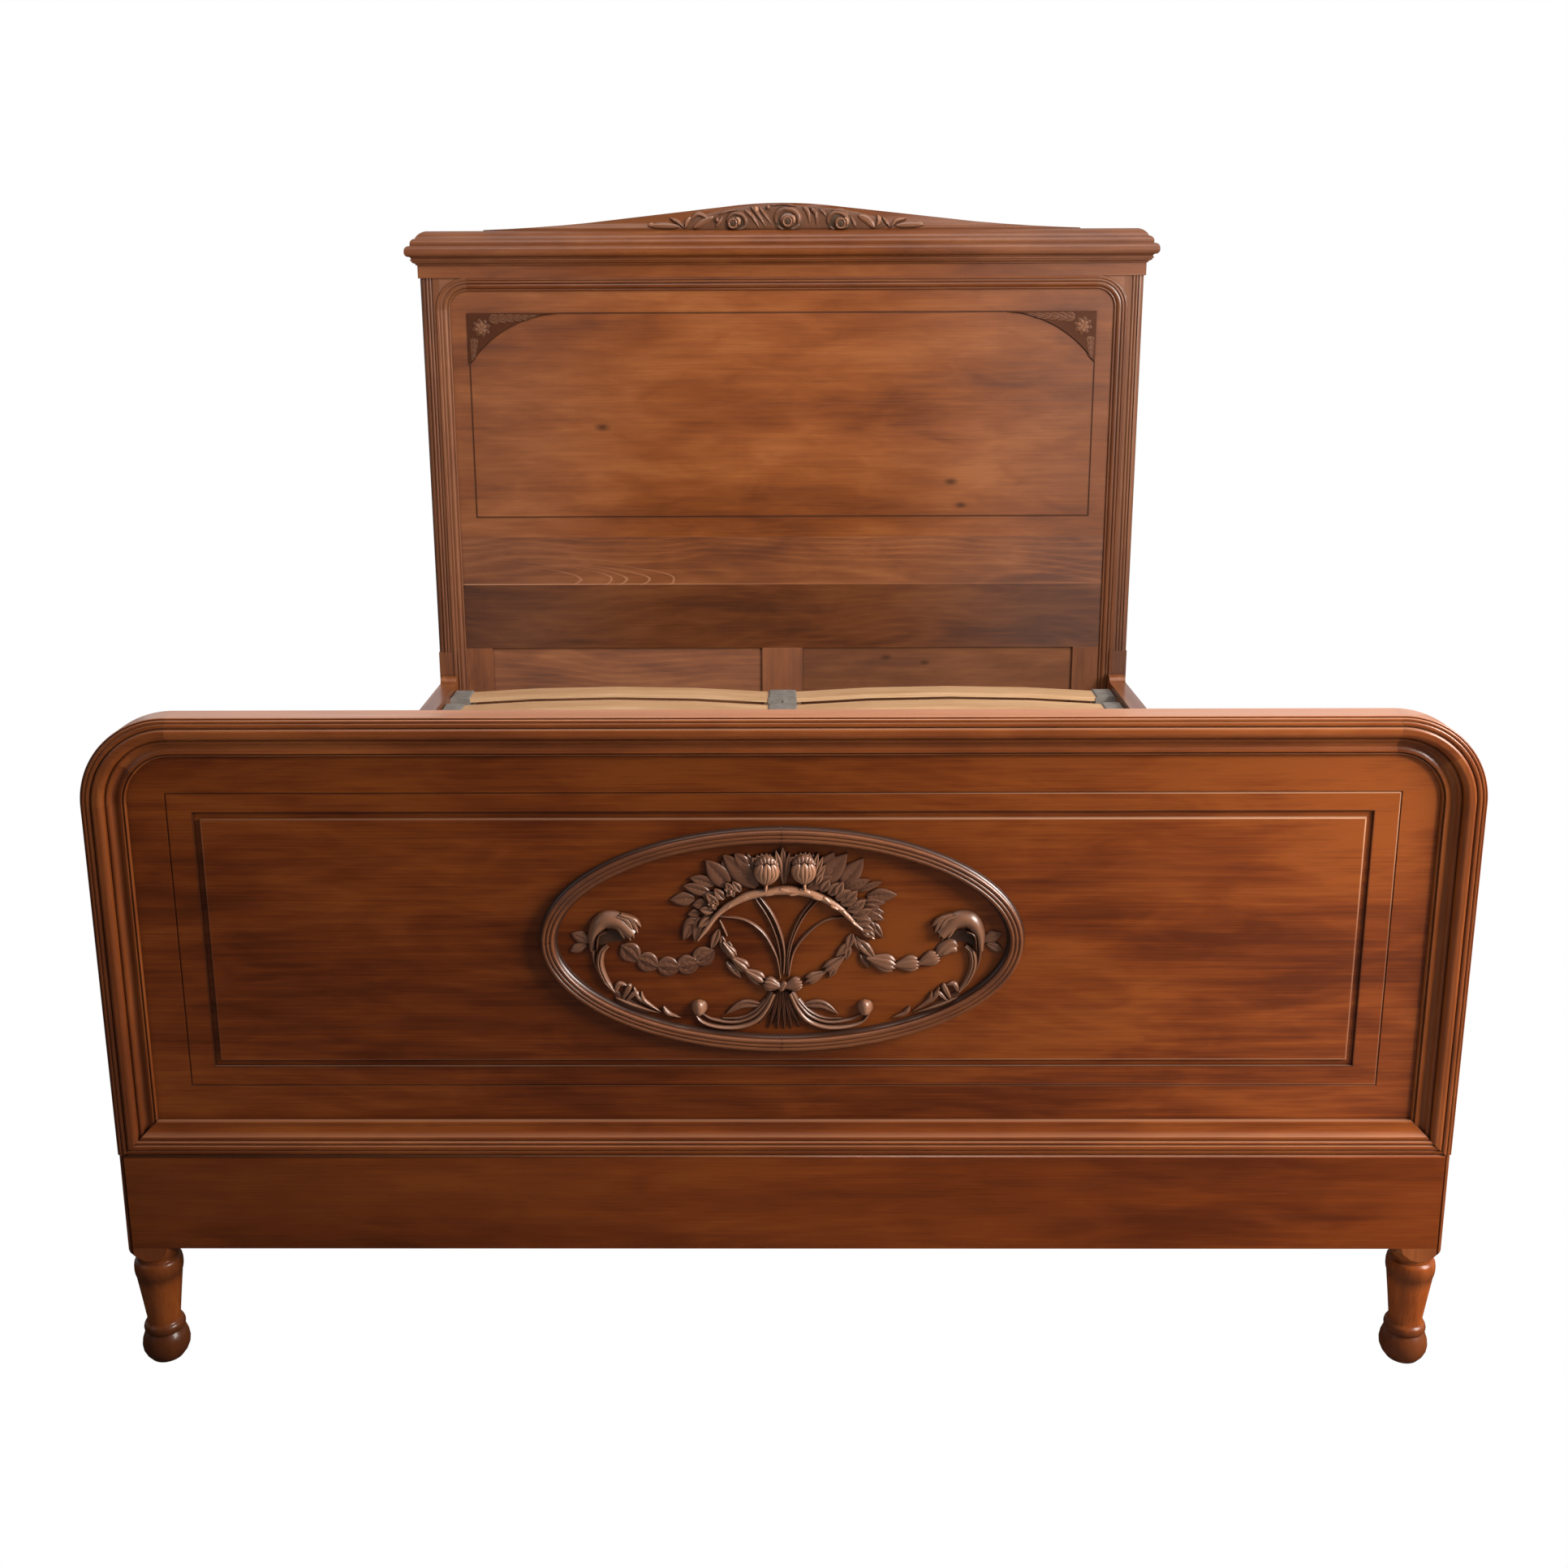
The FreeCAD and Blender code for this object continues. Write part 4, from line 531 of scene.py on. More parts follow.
def finish_nodes():
    """Gives each CAD node its own material."""
    materials = {}
    for seed, (node, (axis, *look)) in enumerate(WOODS.items(), 1):
        materials[node] = wood(node + "_wood", axis, seed, *look, marks=MARKS.get(node),
                               falloff=PAINTED_FALLOFF.get(node), polish=POLISH.get(node, 1.0))
    for seed, (node, (axis, *look)) in enumerate(PALE.items(), PALE_SEED):
        materials[node] = plain_wood(node + "_wood", axis, seed, *look)
    grey = holder_material()
    for node in ("slat_holders_left", "slat_holders_right", "centre_holders"):
        materials[node] = grey
    steel = steel_material()
    for node in ("bed_hooks", "hook_keepers"):
        materials[node] = steel
    materials["medallion_carving"] = carved("medallion_wood", 1.0)
    materials["crest_carving"] = carved("crest_carving_wood", 2.0, 0.8, 1.0, CARVED_CREST)
    materials["corner_carvings"] = carved("corner_carving_wood", 3.0, 0.9, 0.72, shine=0.3, ridges=0.0)
    for node, material in materials.items():
        mesh = CAD[node].data
        mesh.materials.clear()
        mesh.materials.append(material)
    return materials


MATERIALS = finish_nodes()


def shown(name, mesh, node, replaces=True):
    """A mesh that rides on the bed's root body, and stands for the CAD node or lies on it."""
    piece = bpy.data.objects.new(name, mesh)
    bpy.context.scene.collection.objects.link(piece)
    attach(piece, "root")
    if replaces:
        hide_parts(node)


def mesh_from(name, parts, node):
    """One mesh of several parts, in the node's material."""
    mesh = bpy.data.meshes.new(name)
    vertices, faces = joined(parts)
    mesh.from_pydata(vertices, [], faces)
    mesh.materials.append(MATERIALS[node])
    return mesh


# Points this near are joined, and edges over these angles stay sharp
JOIN = 0.000004
JOIN_NEAR = 0.000002
MOULDED_ANGLE = 30.0
CURVED_ANGLE = 34.0
TURNED_ANGLE = 50.0
CARVED_ANGLE = 60.0


def smooth_by_angle(mesh, degrees):
    for polygon in mesh.polygons:
        polygon.use_smooth = True
    mesh.set_sharp_from_angle(angle=math.radians(degrees))


def tidy(mesh, join=JOIN, degrees=MOULDED_ANGLE, thin=True):
    """Joins doubled points, turns the faces outwards and smooths all but the sharp edges."""
    work = bmesh.new()
    work.from_mesh(mesh)
    bmesh.ops.remove_doubles(work, verts=work.verts, dist=join)
    if thin:
        bmesh.ops.dissolve_degenerate(work, edges=work.edges, dist=join)
    bmesh.ops.recalc_face_normals(work, faces=work.faces)
    work.to_mesh(mesh)
    work.free()
    smooth_by_angle(mesh, degrees)


def softened(node):
    """The node's own shape, joined up so that its curves shade smoothly."""
    mesh = CAD[node].data.copy()
    mesh.name = node + "_shown"
    tidy(mesh, JOIN_NEAR, CURVED_ANGLE, thin=False)
    shown(mesh.name, mesh, node)


for name in ("foot_apron", "crest"):
    softened(name)

# Turned feet: radius and height of the outline, from the floor up
FOOT_OUTLINE = [
    (0.0, 0.0), (13.0, 0.0), (15.2, 0.8), (21.0, 4.5), (26.2, 11.5), (29.2, 18.5), (30.0, 25.0), (29.0, 32.5),
    (26.6, 39.5), (24.0, 43.0), (23.4, 44.0), (24.4, 45.2), (25.8, 47.8), (26.0, 50.4), (25.2, 53.6),
    (23.6, 56.4), (22.2, 57.2), (21.4, 59.2), (20.8, 62.0), (21.2, 66.0), (22.4, 76.0), (24.4, 93.0),
    (26.8, 112.0), (28.2, 123.0), (28.3, 126.0), (29.6, 129.5), (30.4, 134.5), (30.4, 141.0), (29.6, 146.0),
    (28.0, 149.4), (25.9, 150.2), (25.5, 151.2), (25.5, 155.0), (0.0, 155.0),
]
FOOT_X = 812.0 * MM
FOOT_Y = -1035.8 * MM
TURNS = 72


def swept(rows):
    """Vertices and faces of a closed solid through rows of matching section points."""
    count = len(rows[0])
    vertices = [point for row in rows for point in row]
    faces = []
    for step in range(len(rows) - 1):
        for k in range(count):
            a = step * count + k
            b = step * count + (k + 1) % count
            faces.append((a, b, b + count, a + count))
    faces.append(list(range(count))[::-1])
    faces.append([(len(rows) - 1) * count + k for k in range(count)])
    return vertices, faces


def joined(parts):
    """Several vertex and face lists as one."""
    vertices, faces = [], []
    for more_vertices, more_faces in parts:
        shift = len(vertices)
        vertices += more_vertices
        faces += [tuple(v + shift for v in face) for face in more_faces]
    return vertices, faces


def flipped(part):
    """The mirror image of a part."""
    vertices, faces = part
    return [(-x, y, z) for x, y, z in vertices], [tuple(face)[::-1] for face in faces]


def turned_feet():
    """Both front feet as smooth turnings."""
    sides = []
    for side in (-1, 1):
        sides.append(swept([[
            (side * FOOT_X + radius * MM * math.cos(2 * math.pi * step / TURNS),
             FOOT_Y + radius * MM * math.sin(2 * math.pi * step / TURNS), height * MM)
            for step in range(TURNS)] for radius, height in FOOT_OUTLINE[1:-1]]))
    mesh = mesh_from("turned_feet", sides, "front_feet")
    shown("turned_feet", mesh, "front_feet")
    smooth_by_angle(mesh, TURNED_ANGLE)


turned_feet()

# Ring round the oval, in millimetres
RING_WIDTH = 21.5
RING_HEIGHT = 13.0
RING_STEPS = 48
RING_GAP = 0.0006
OVAL = (297.0, 147.0)


def arc_points(first, middle, last, steps=8):
    """Points along the circle through three points, without the first."""
    (ax, ay), (bx, by), (cx, cy) = first, middle, last
    d = 2 * (ax * (by - cy) + bx * (cy - ay) + cx * (ay - by))
    ux = ((ax**2 + ay**2) * (by - cy) + (bx**2 + by**2) * (cy - ay) + (cx**2 + cy**2) * (ay - by)) / d
    uy = ((ax**2 + ay**2) * (cx - bx) + (bx**2 + by**2) * (ax - cx) + (cx**2 + cy**2) * (bx - ax)) / d
    radius = math.hypot(ax - ux, ay - uy)
    start = math.atan2(ay - uy, ax - ux)
    mid = math.atan2(by - uy, bx - ux)
    end = math.atan2(cy - uy, cx - ux)
    turn = (end - start) % (2 * math.pi)
    if (mid - start) % (2 * math.pi) > turn:
        turn -= 2 * math.pi
    return [(ux + radius * math.cos(start + turn * k / steps),
             uy + radius * math.sin(start + turn * k / steps))
            for k in range(1, steps + 1)]


def profile(shares, width, height):
    """A section's points: a pair is a corner, and a pair of pairs an arc's middle and end."""
    points = []
    for share in shares:
        if isinstance(share[0], tuple):
            middle, end = [(x * width, y * height) for x, y in share]
            points += arc_points(points[-1], middle, end)
        else:
            points.append((share[0] * width, share[1] * height))
    return points


# Mouldings: widths and depths of their sections as shares. A pair of pairs is an arc's middle and end.
REEDS = [
    (0.0, 0.34), ((0.010, 0.24), (0.030, 0.22)), (0.055, 0.26), ((0.068, 0.12), (0.095, 0.10)),
    ((0.122, 0.12), (0.135, 0.30)), ((0.150, 0.10), (0.190, 0.07)), ((0.242, 0.12), (0.262, 0.34)),
]
INNER = [
    (0.272, 0.34), ((0.292, 0.05), (0.375, 0.0)), ((0.505, 0.10), (0.548, 0.44)), (0.548, 0.52),
    ((0.600, 0.47), (0.650, 0.54)), (0.655, 0.62), ((0.720, 0.78), (0.810, 0.76)),
    ((0.870, 0.68), (0.915, 0.66)), (0.925, 0.84), (0.955, 0.84), ((0.968, 0.76), (0.985, 0.80)), (1.0, 0.88),
    (1.0, 1.0),
]
BASE = [
    (0.160, 0.22), (0.195, 0.22), ((0.215, 0.13), (0.245, 0.11)), ((0.285, 0.13), (0.302, 0.24)),
    ((0.322, 0.07), (0.370, 0.04)), ((0.418, 0.08), (0.438, 0.22)), ((0.455, 0.12), (0.487, 0.10)),
    ((0.518, 0.13), (0.532, 0.24)), (0.572, 0.30), (0.580, 0.20), (0.640, 0.22),
    ((0.760, 0.46), (0.930, 0.56)), (0.955, 0.54), (1.0, 0.58), (1.0, 1.0),
]
FRAME_FACE = 51.0
FRAME_RELIEF = 17.0
FRAME_THICKNESS = 38.0
FRAME_GROOVE = 42.0
PANEL_BACK = 29.0
REED_WIDTH = FRAME_FACE * 0.16
FOOT_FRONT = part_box("foot_apron")[0].y - 1.0 * MM
HALF_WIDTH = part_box("foot_corners_lower")[1].x
FOOT_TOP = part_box("foot_top_rail")[1].z
CORNER_RADIUS = 110.0
SPRINGING = FOOT_TOP - CORNER_RADIUS * MM
APRON_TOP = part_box("foot_apron")[1].z
JOINT_ANGLE = 40.0
CORNER_STEPS = 22
HEAD_CORNER_STEPS = 30

HEAD_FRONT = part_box("head_post_left")[0].y
HEAD_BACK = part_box("head_post_left")[1].y
HEAD_REEDS = [
    (0.0, 1.0), ((0.08, 0.27), (0.26, 0.0)), (0.26, 0.2), (0.29, 0.2), ((0.37, 0.0), (0.445, 0.2)),
    ((0.52, 0.0), (0.60, 0.2)), (0.65, 0.2), (0.65, 0.0), (1.0, 0.0), (1.0, 1.0),
]
HEAD_FLAT = 46.0
REED_RELIEF = 12.0
REED_STOP = 0.475
HEAD_POST_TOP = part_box("head_post_left")[1].z
MOULDING = [
    (0.0, 0.0), (0.0, 0.80), ((0.05, 1.0), (0.14, 1.0)), ((0.23, 0.98), (0.26, 0.80)), (0.26, 0.70),
    (0.31, 0.70), ((0.39, 0.84), (0.47, 0.66)), (0.47, 0.58), (0.52, 0.58), ((0.68, 0.66), (0.82, 0.36)),
    (0.82, 0.28), (0.88, 0.28), ((0.94, 0.34), (1.0, 0.14)), (1.0, 0.0),
]
MOULDING_WIDTH = 31.0
MOULDING_LAP = 11.0
MOULDING_HEIGHT = 12.0
HEAD_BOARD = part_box("head_panel")[0].y
HEAD_RADIUS = 73.0
CORNICE = [
    (0.20, 0.0), (0.20, 0.015), ((0.24, 0.045), (0.36, 0.055)), (0.36, 0.075), ((0.49, 0.095), (0.47, 0.125)),
    ((0.59, 0.145), (0.56, 0.175)), (0.52, 0.185), ((0.58, 0.23), (0.78, 0.25)),
    ((0.985, 0.32), (1.0, 0.415)), ((0.93, 0.51), (0.66, 0.565)), (0.56, 0.575), (0.56, 0.60),
    ((0.50, 0.71), (0.30, 0.77)), (0.16, 0.785), (0.12, 0.82), ((-0.24, 0.945), (-0.66, 1.0)),
]
CORNICE_REACH = 26.5
FRIEZE_REACH = 0.09
HEAD_DEPTH = 50.0
HAIR = 0.00001


def moulding_piece(node, parts):
    mesh = mesh_from(node + "_shown", parts, node)
    shown(mesh.name, mesh, node)
    tidy(mesh)


def frame_section():
    front = profile(REEDS + INNER, FRAME_FACE * MM, FRAME_RELIEF * MM)
    back = [(FRAME_GROOVE, FRAME_RELIEF), (FRAME_GROOVE, PANEL_BACK), (FRAME_FACE, PANEL_BACK),
            (FRAME_FACE, FRAME_THICKNESS), (0.0, FRAME_THICKNESS)]
    return front + [(across * MM, depth * MM) for across, depth in back]


def foot_corner(first, last):
    """Left corner of the footboard's frame between two angles above the level."""
    rows = []
    for step in range(CORNER_STEPS + 1):
        angle = math.radians(first + (last - first) * step / CORNER_STEPS)
        row = []
        for across, depth in frame_section():
            reach = CORNER_RADIUS * MM - across
            row.append((-HALF_WIDTH + CORNER_RADIUS * MM - reach * math.cos(angle), FOOT_FRONT + depth,
                        SPRINGING + reach * math.sin(angle)))
        rows.append(row)
    return swept(rows)


def front_removed(node, depth, low):
    """The node's own shape with its moulded front cut back to a plane, above a height."""
    mesh = CAD[node].data
    vertices = []
    for vertex in mesh.vertices:
        x, y, z = vertex.co
        vertices.append((x, max(y, depth) if z > low else y, z))
    return vertices, [tuple(polygon.vertices) for polygon in mesh.polygons]


def bar(section, ends, place):
    """A section swept between two ends."""
    return swept([[place(end, across, depth) for across, depth in section] for end in ends])


def mouldings():
    """The footboard's frame, the headboard's posts and moulding, the cornice and the frieze."""
    for node, first, last in (("foot_corners_lower", 0.0, JOINT_ANGLE),
                              ("foot_corners_upper", JOINT_ANGLE, 90.0)):
        left = foot_corner(first, last)
        moulding_piece(node, [left, flipped(left)])
    straight = HALF_WIDTH - CORNER_RADIUS * MM
    rail = bar(frame_section(), (-straight, straight),
               lambda x, across, depth: (x, FOOT_FRONT + depth, FOOT_TOP - across))
    moulding_piece("foot_top_rail", [rail])
    section = profile(BASE, FRAME_FACE * MM, FRAME_RELIEF * MM)
    section.append((REED_WIDTH * MM, FRAME_RELIEF * MM))
    base = bar(section, (-1, 1), lambda side, across, depth: (
        side * (HALF_WIDTH - across), FOOT_FRONT + depth, APRON_TOP + across - REED_WIDTH * MM))
    moulding_piece("foot_base_moulding", [base])
    front = profile(REEDS + INNER, FRAME_FACE * MM, FRAME_RELIEF * MM) + [(0.0, FRAME_RELIEF * MM)]
    foot = bar(front, (0, 1), lambda end, across, depth: (
        -HALF_WIDTH + across, FOOT_FRONT + depth,
        SPRINGING if end else APRON_TOP + max(0.0, across - REED_WIDTH * MM)))
    reeds = profile(HEAD_REEDS, HEAD_FLAT * MM, REED_RELIEF * MM)
    head = bar(reeds, (REED_STOP, HEAD_POST_TOP),
               lambda z, across, depth: (-HALF_WIDTH + across, HEAD_FRONT + depth, z))
    for node, left, depth, low in (("foot_post", foot, FOOT_FRONT + FRAME_RELIEF * MM, APRON_TOP - HAIR),
                                   ("head_post", head, HEAD_FRONT + REED_RELIEF * MM, REED_STOP + HAIR)):
        moulding_piece(node + "_left", [front_removed(node + "_left", depth, low), left])
        moulding_piece(node + "_right", [front_removed(node + "_right", depth, low), flipped(left)])
    section = profile(MOULDING, MOULDING_WIDTH * MM, MOULDING_HEIGHT * MM)
    outer = HALF_WIDTH - (HEAD_FLAT - MOULDING_LAP) * MM
    low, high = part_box("head_moulding_left")
    left = bar(section, (low.z, high.z), lambda z, across, rise: (-outer + across, HEAD_BOARD - rise, z))
    moulding_piece("head_moulding_left", [left])
    moulding_piece("head_moulding_right", [flipped(left)])
    rows = []
    for step in range(HEAD_CORNER_STEPS + 1):
        angle = math.pi / 2 * step / HEAD_CORNER_STEPS
        rows.append([(-outer + HEAD_RADIUS * MM - (HEAD_RADIUS * MM - across) * math.cos(angle),
                      HEAD_BOARD - rise, high.z + (HEAD_RADIUS * MM - across) * math.sin(angle))
                     for across, rise in section])
    left = swept(rows)
    moulding_piece("head_moulding_corners", [left, flipped(left)])
    reach = outer - HEAD_RADIUS * MM
    top = high.z + HEAD_RADIUS * MM
    across_top = bar(section, (-reach, reach), lambda x, across, rise: (x, HEAD_BOARD - rise, top - across))
    moulding_piece("head_moulding_top", [across_top])
    low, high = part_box("cornice_front")
    section = profile(CORNICE, CORNICE_REACH * MM, high.z - low.z)
    section += [(-HEAD_DEPTH * MM, high.z - low.z), (-HEAD_DEPTH * MM, 0.0)]
    front = bar(section, (-1, 1),
                lambda side, out, rise: (side * (HALF_WIDTH + out), HEAD_FRONT - out, low.z + rise))
    moulding_piece("cornice_front", [front])
    foot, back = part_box("head_frieze")
    out = FRIEZE_REACH * CORNICE_REACH * MM
    frieze = [(HEAD_FRONT - out, foot.z), (HEAD_FRONT - out, low.z), (back.y, low.z), (back.y, foot.z)]
    board = bar(frieze, (-1, 1), lambda side, y, z: (side * (HALF_WIDTH + out), y, z))
    moulding_piece("head_frieze", [board])
    left = bar(section, (0, 1), lambda end, out, rise: (
        -HALF_WIDTH - out, HEAD_BACK if end else HEAD_FRONT - out, low.z + rise))
    moulding_piece("cornice_returns", [left, flipped(left)])


mouldings()

# The ring's section: widths from the outside in, and heights, as shares
RING_SHARES = [
    (0, 0), (0, 0.08), ((0.11, 0.14), (0.165, 0.60)), ((0.265, 1.0), (0.385, 0.66)),
    ((0.490, 1.0), (0.600, 0.66)), ((0.705, 1.0), (0.805, 0.60)), ((0.88, 0.14), (1.0, 0.08)), (1.0, 0),
]


def oval_ring():
    """The ring as four curved pieces with a hairline gap at their joints."""
    section = profile(RING_SHARES, RING_WIDTH * MM, RING_HEIGHT * MM)
    quarters = []
    for quarter in range(4):
        rows = []
        for step in range(RING_STEPS + 1):
            angle = math.pi / 2 * quarter + RING_GAP + (math.pi / 2 - 2 * RING_GAP) * step / RING_STEPS
            x, z = OVAL[0] * MM * math.cos(angle), OVAL[1] * MM * math.sin(angle)
            normal = Vector((x / OVAL[0]**2, z / OVAL[1]**2)).normalized()
            rows.append([(OVAL_CENTRE.x + x - normal.x * inward, OVAL_CENTRE.y - out,
                          OVAL_CENTRE.z + z - normal.y * inward) for inward, out in section])
        quarters.append(swept(rows))
    mesh = mesh_from("oval_ring", quarters, "medallion_ring")
    shown("oval_ring", mesh, "medallion_ring")
    smooth_by_angle(mesh, CURVED_ANGLE)


oval_ring()


def heading(degrees):
    return Vector((math.cos(math.radians(degrees)), math.sin(math.radians(degrees))))


def curve_through(points, count):
    """Evenly shared points along a smooth curve through the given ones."""
    points = [Vector(p) for p in points]
    if len(points) == 2:
        return [points[0].lerp(points[1], k / (count - 1)) for k in range(count)]
    padded = [2 * points[0] - points[1], *points, 2 * points[-1] - points[-2]]
    found = []
    spans = len(points) - 1
    for k in range(count):
        t = spans * k / (count - 1)
        i = min(int(t), spans - 1)
        u = t - i
        a, b, c, d = padded[i:i + 4]
        found.append(0.5 * (2 * b + (c - a) * u + (2 * a - 5 * b + 4 * c - d) * u**2
                            + (3 * b - a - 3 * c + d) * u**3))
    return found


def leaf_width(t, belly=0.40, root=0.30):
    if t < belly:
        return root + (1 - root) * math.sin(math.pi / 2 * t / belly)
    return max(0.02, 1 - ((t - belly) / (1 - belly)) ** 1.9)


def stem_width(t, start=0.7, end=0.7):
    return start + (end - start) * t + 0.3 * math.sin(math.pi * t)


def bud_width(t):
    return max(0.06, (1 - abs(2 * t - 1) ** 2.2) ** 0.5)


def petal_width(t):
    """Narrow at its root, full near its rounded tip."""
    return max(0.05, min(1.0, 0.30 + 1.15 * t) * (1 - max(0.0, (t - 0.62) / 0.38) ** 2.2))


def pillow(fall=2.0, ribs=0.0, rib=0.0, groove=0.0):
    """Rounded section, with ribs along it or a groove down its middle."""
    def form(t, s):
        body = 1 - abs(s) ** fall + rib * math.cos(2 * math.pi * ribs * s) * (1 - s * s)
        return body - groove * math.exp(-(s / 0.15) ** 2) * min(1.0, 4 * (1 - t))
    return form


def veined(veins=6.0, fold=0.50):
    """Leaf section: raised edges, a sunk midrib and veins that run out and forwards from it."""
    def form(t, s):
        body = (1 - abs(s) ** 6) * (0.58 + 0.42 * abs(s) ** 1.4)
        body -= fold * math.exp(-(s / 0.14) ** 2) * (1 - t)
        vein = math.sin(2 * math.pi * (veins * t - 1.2 * abs(s)))
        return body + 0.17 * vein * min(1.0, 5 * abs(s)) * (1 - abs(s))
    return form


LEAF = veined()
ROUND = pillow()


RELIEF_SINK = 0.0005


class Relief:
    """A carved field: blades, buds and stems laid on a plane that faces the foot of the bed."""

    def __init__(self, centre, inside=None):
        self.centre = centre
        self.inside = inside
        self.vertices = []
        self.faces = []
        self.worn = []

    def blade(self, points, half, rise, width=leaf_width, form=LEAF, lift=0.6, curl=0.0, over=None,
              worn=0.0, wave=0.0, along=18, across=12):
        """One carved member along a curve. Half its width, its rise and its lift are in millimetres."""
        line = curve_through(points, along + 1)
        start = len(self.vertices)
        columns = across + 1
        for k, point in enumerate(line):
            t = k / along
            tangent = (line[min(along, k + 1)] - line[max(0, k - 1)]).normalized()
            normal = Vector((-tangent.y, tangent.x))
            share = width(t)
            reach = half * share * (1 + wave * math.sin(8.0 * math.pi * t))
            for j in range(columns):
                s = 2 * j / across - 1
                body = max(0.0, form(t, s))
                spot = point + normal * (reach * s)
                if self.inside:
                    spot = self.inside(spot)
                height = lift + curl * t * t + rise * share ** 0.6 * body
                if over:
                    height += over(spot)
                self.vertices.append(self.place(spot, height))
                # Above nothing: wear and painted highlight; below nothing: painted shade
                self.worn.append(worn * (0.4 + 0.6 * min(1.0, body)))
        for k in range(along + 1):
            for j in (0, across):
                x, y, z = self.vertices[start + k * columns + j]
                self.vertices.append((x, self.centre.y + RELIEF_SINK, z))
                self.worn.append(0.0)
        self.grid(start, along + 1, columns)

    def place(self, spot, height):
        return (self.centre.x + spot.x * MM, self.centre.y - height * MM, self.centre.z + spot.y * MM)

    def grid(self, start, rows, columns):
        """Faces over a top grid, with its sides, ends and flat back."""
        foot = start + rows * columns
        for k in range(rows - 1):
            left, back = start + k * columns, foot + 2 * k
            right = left + columns - 1
            for a in range(left, right):
                self.faces.append((a, a + 1, a + 1 + columns, a + columns))
            self.faces += [(left, left + columns, back + 2, back), (back, back + 2, back + 3, back + 1),
                           (right + columns, right, back + 1, back + 3)]
        last = start + (rows - 1) * columns
        self.faces.append((*range(start + columns - 1, start - 1, -1), foot, foot + 1))
        self.faces.append((*range(last, last + columns), foot + 2 * rows - 1, foot + 2 * rows - 2))

    def ball(self, x, z, radius, rise, lift=0.0, worn=0.0):
        """A round boss."""
        self.blade([(x, z - radius), (x, z + radius)], radius, rise, bud_width, ROUND, lift, worn=worn,
                   along=16, across=16)

    def leaf(self, base, tip, half, rise=3.0, lift=1.0, bend=0.0, curl=1.2, **more):
        base, tip = Vector(base), Vector(tip)
        middle = (base + tip) / 2 + Vector((-(tip - base).y, (tip - base).x)) * bend
        self.blade([base, middle, tip], half, rise, leaf_width, lift=lift, curl=curl, **more)

    def stem(self, points, half, rise=3.0, start=0.7, end=0.7, lift=0.2, along=28, form=ROUND, **more):
        self.blade(points, half, rise, lambda t: stem_width(t, start, end), form, lift, along=along,
                   across=10, **more)

    def husk(self, base, mouth, half, rise=4.0, lift=0.6, lobes=3, worn=0.0):
        """A cup of petals that open towards the mouth."""
        base, mouth = Vector(base), Vector(mouth)
        way = mouth - base
        side = Vector((-way.y, way.x)).normalized()
        for lobe in range(lobes):
            turn = 2 * lobe / (lobes - 1) - 1
            inner = 1 - abs(turn)
            tip = base + way * (0.92 + 0.08 * inner) + side * half * 0.62 * turn
            middle = base + way * 0.5 + side * half * 0.52 * turn
            self.blade([base, middle, tip], half * 0.50, rise * 0.55, petal_width, pillow(2.4, groove=0.12),
                       lift + rise * (0.30 + 0.40 * inner), worn=worn, along=14, across=10)

    def bud(self, x, z, wide, tall, rise, lean):
        """A closed round bud: a dome, three petals over it and a fringe of sepals along its top."""
        def dome(spot):
            left = 1 - ((spot.x - x) / wide) ** 2 - ((spot.y - z) / tall) ** 2
            return rise * math.sqrt(max(0.0, left))
        self.blade([(x, z - tall), (x, z + tall)], wide * 0.95, rise, bud_width, pillow(2.0), 0.0, worn=0.15,
                   along=28, across=28)
        foot = (x + lean, z - tall * 0.93)
        for share, half in ((-0.62, 6.5), (0.62, 6.5), (0.02, 7.5)):
            self.blade([foot, (x + share * wide * 0.95, z - tall * 0.25),
                        (x + share * wide * 0.62, z + tall * 0.62)],
                       half, 2.6, petal_width, pillow(3.0, groove=0.45), 0.8, over=dome, worn=0.65,
                       along=22, across=14)
        for step in range(7):
            share = (step - 3) / 3.2
            root = (x + share * wide * 0.75, z + tall * (0.62 - 0.22 * abs(share)))
            tip = (x + share * wide * 1.02 + lean, z + tall * (1.12 - 0.30 * share * share))
            self.leaf(root, tip, 4.6, 2.4, 2.0, over=dome, curl=3.0, worn=0.4)


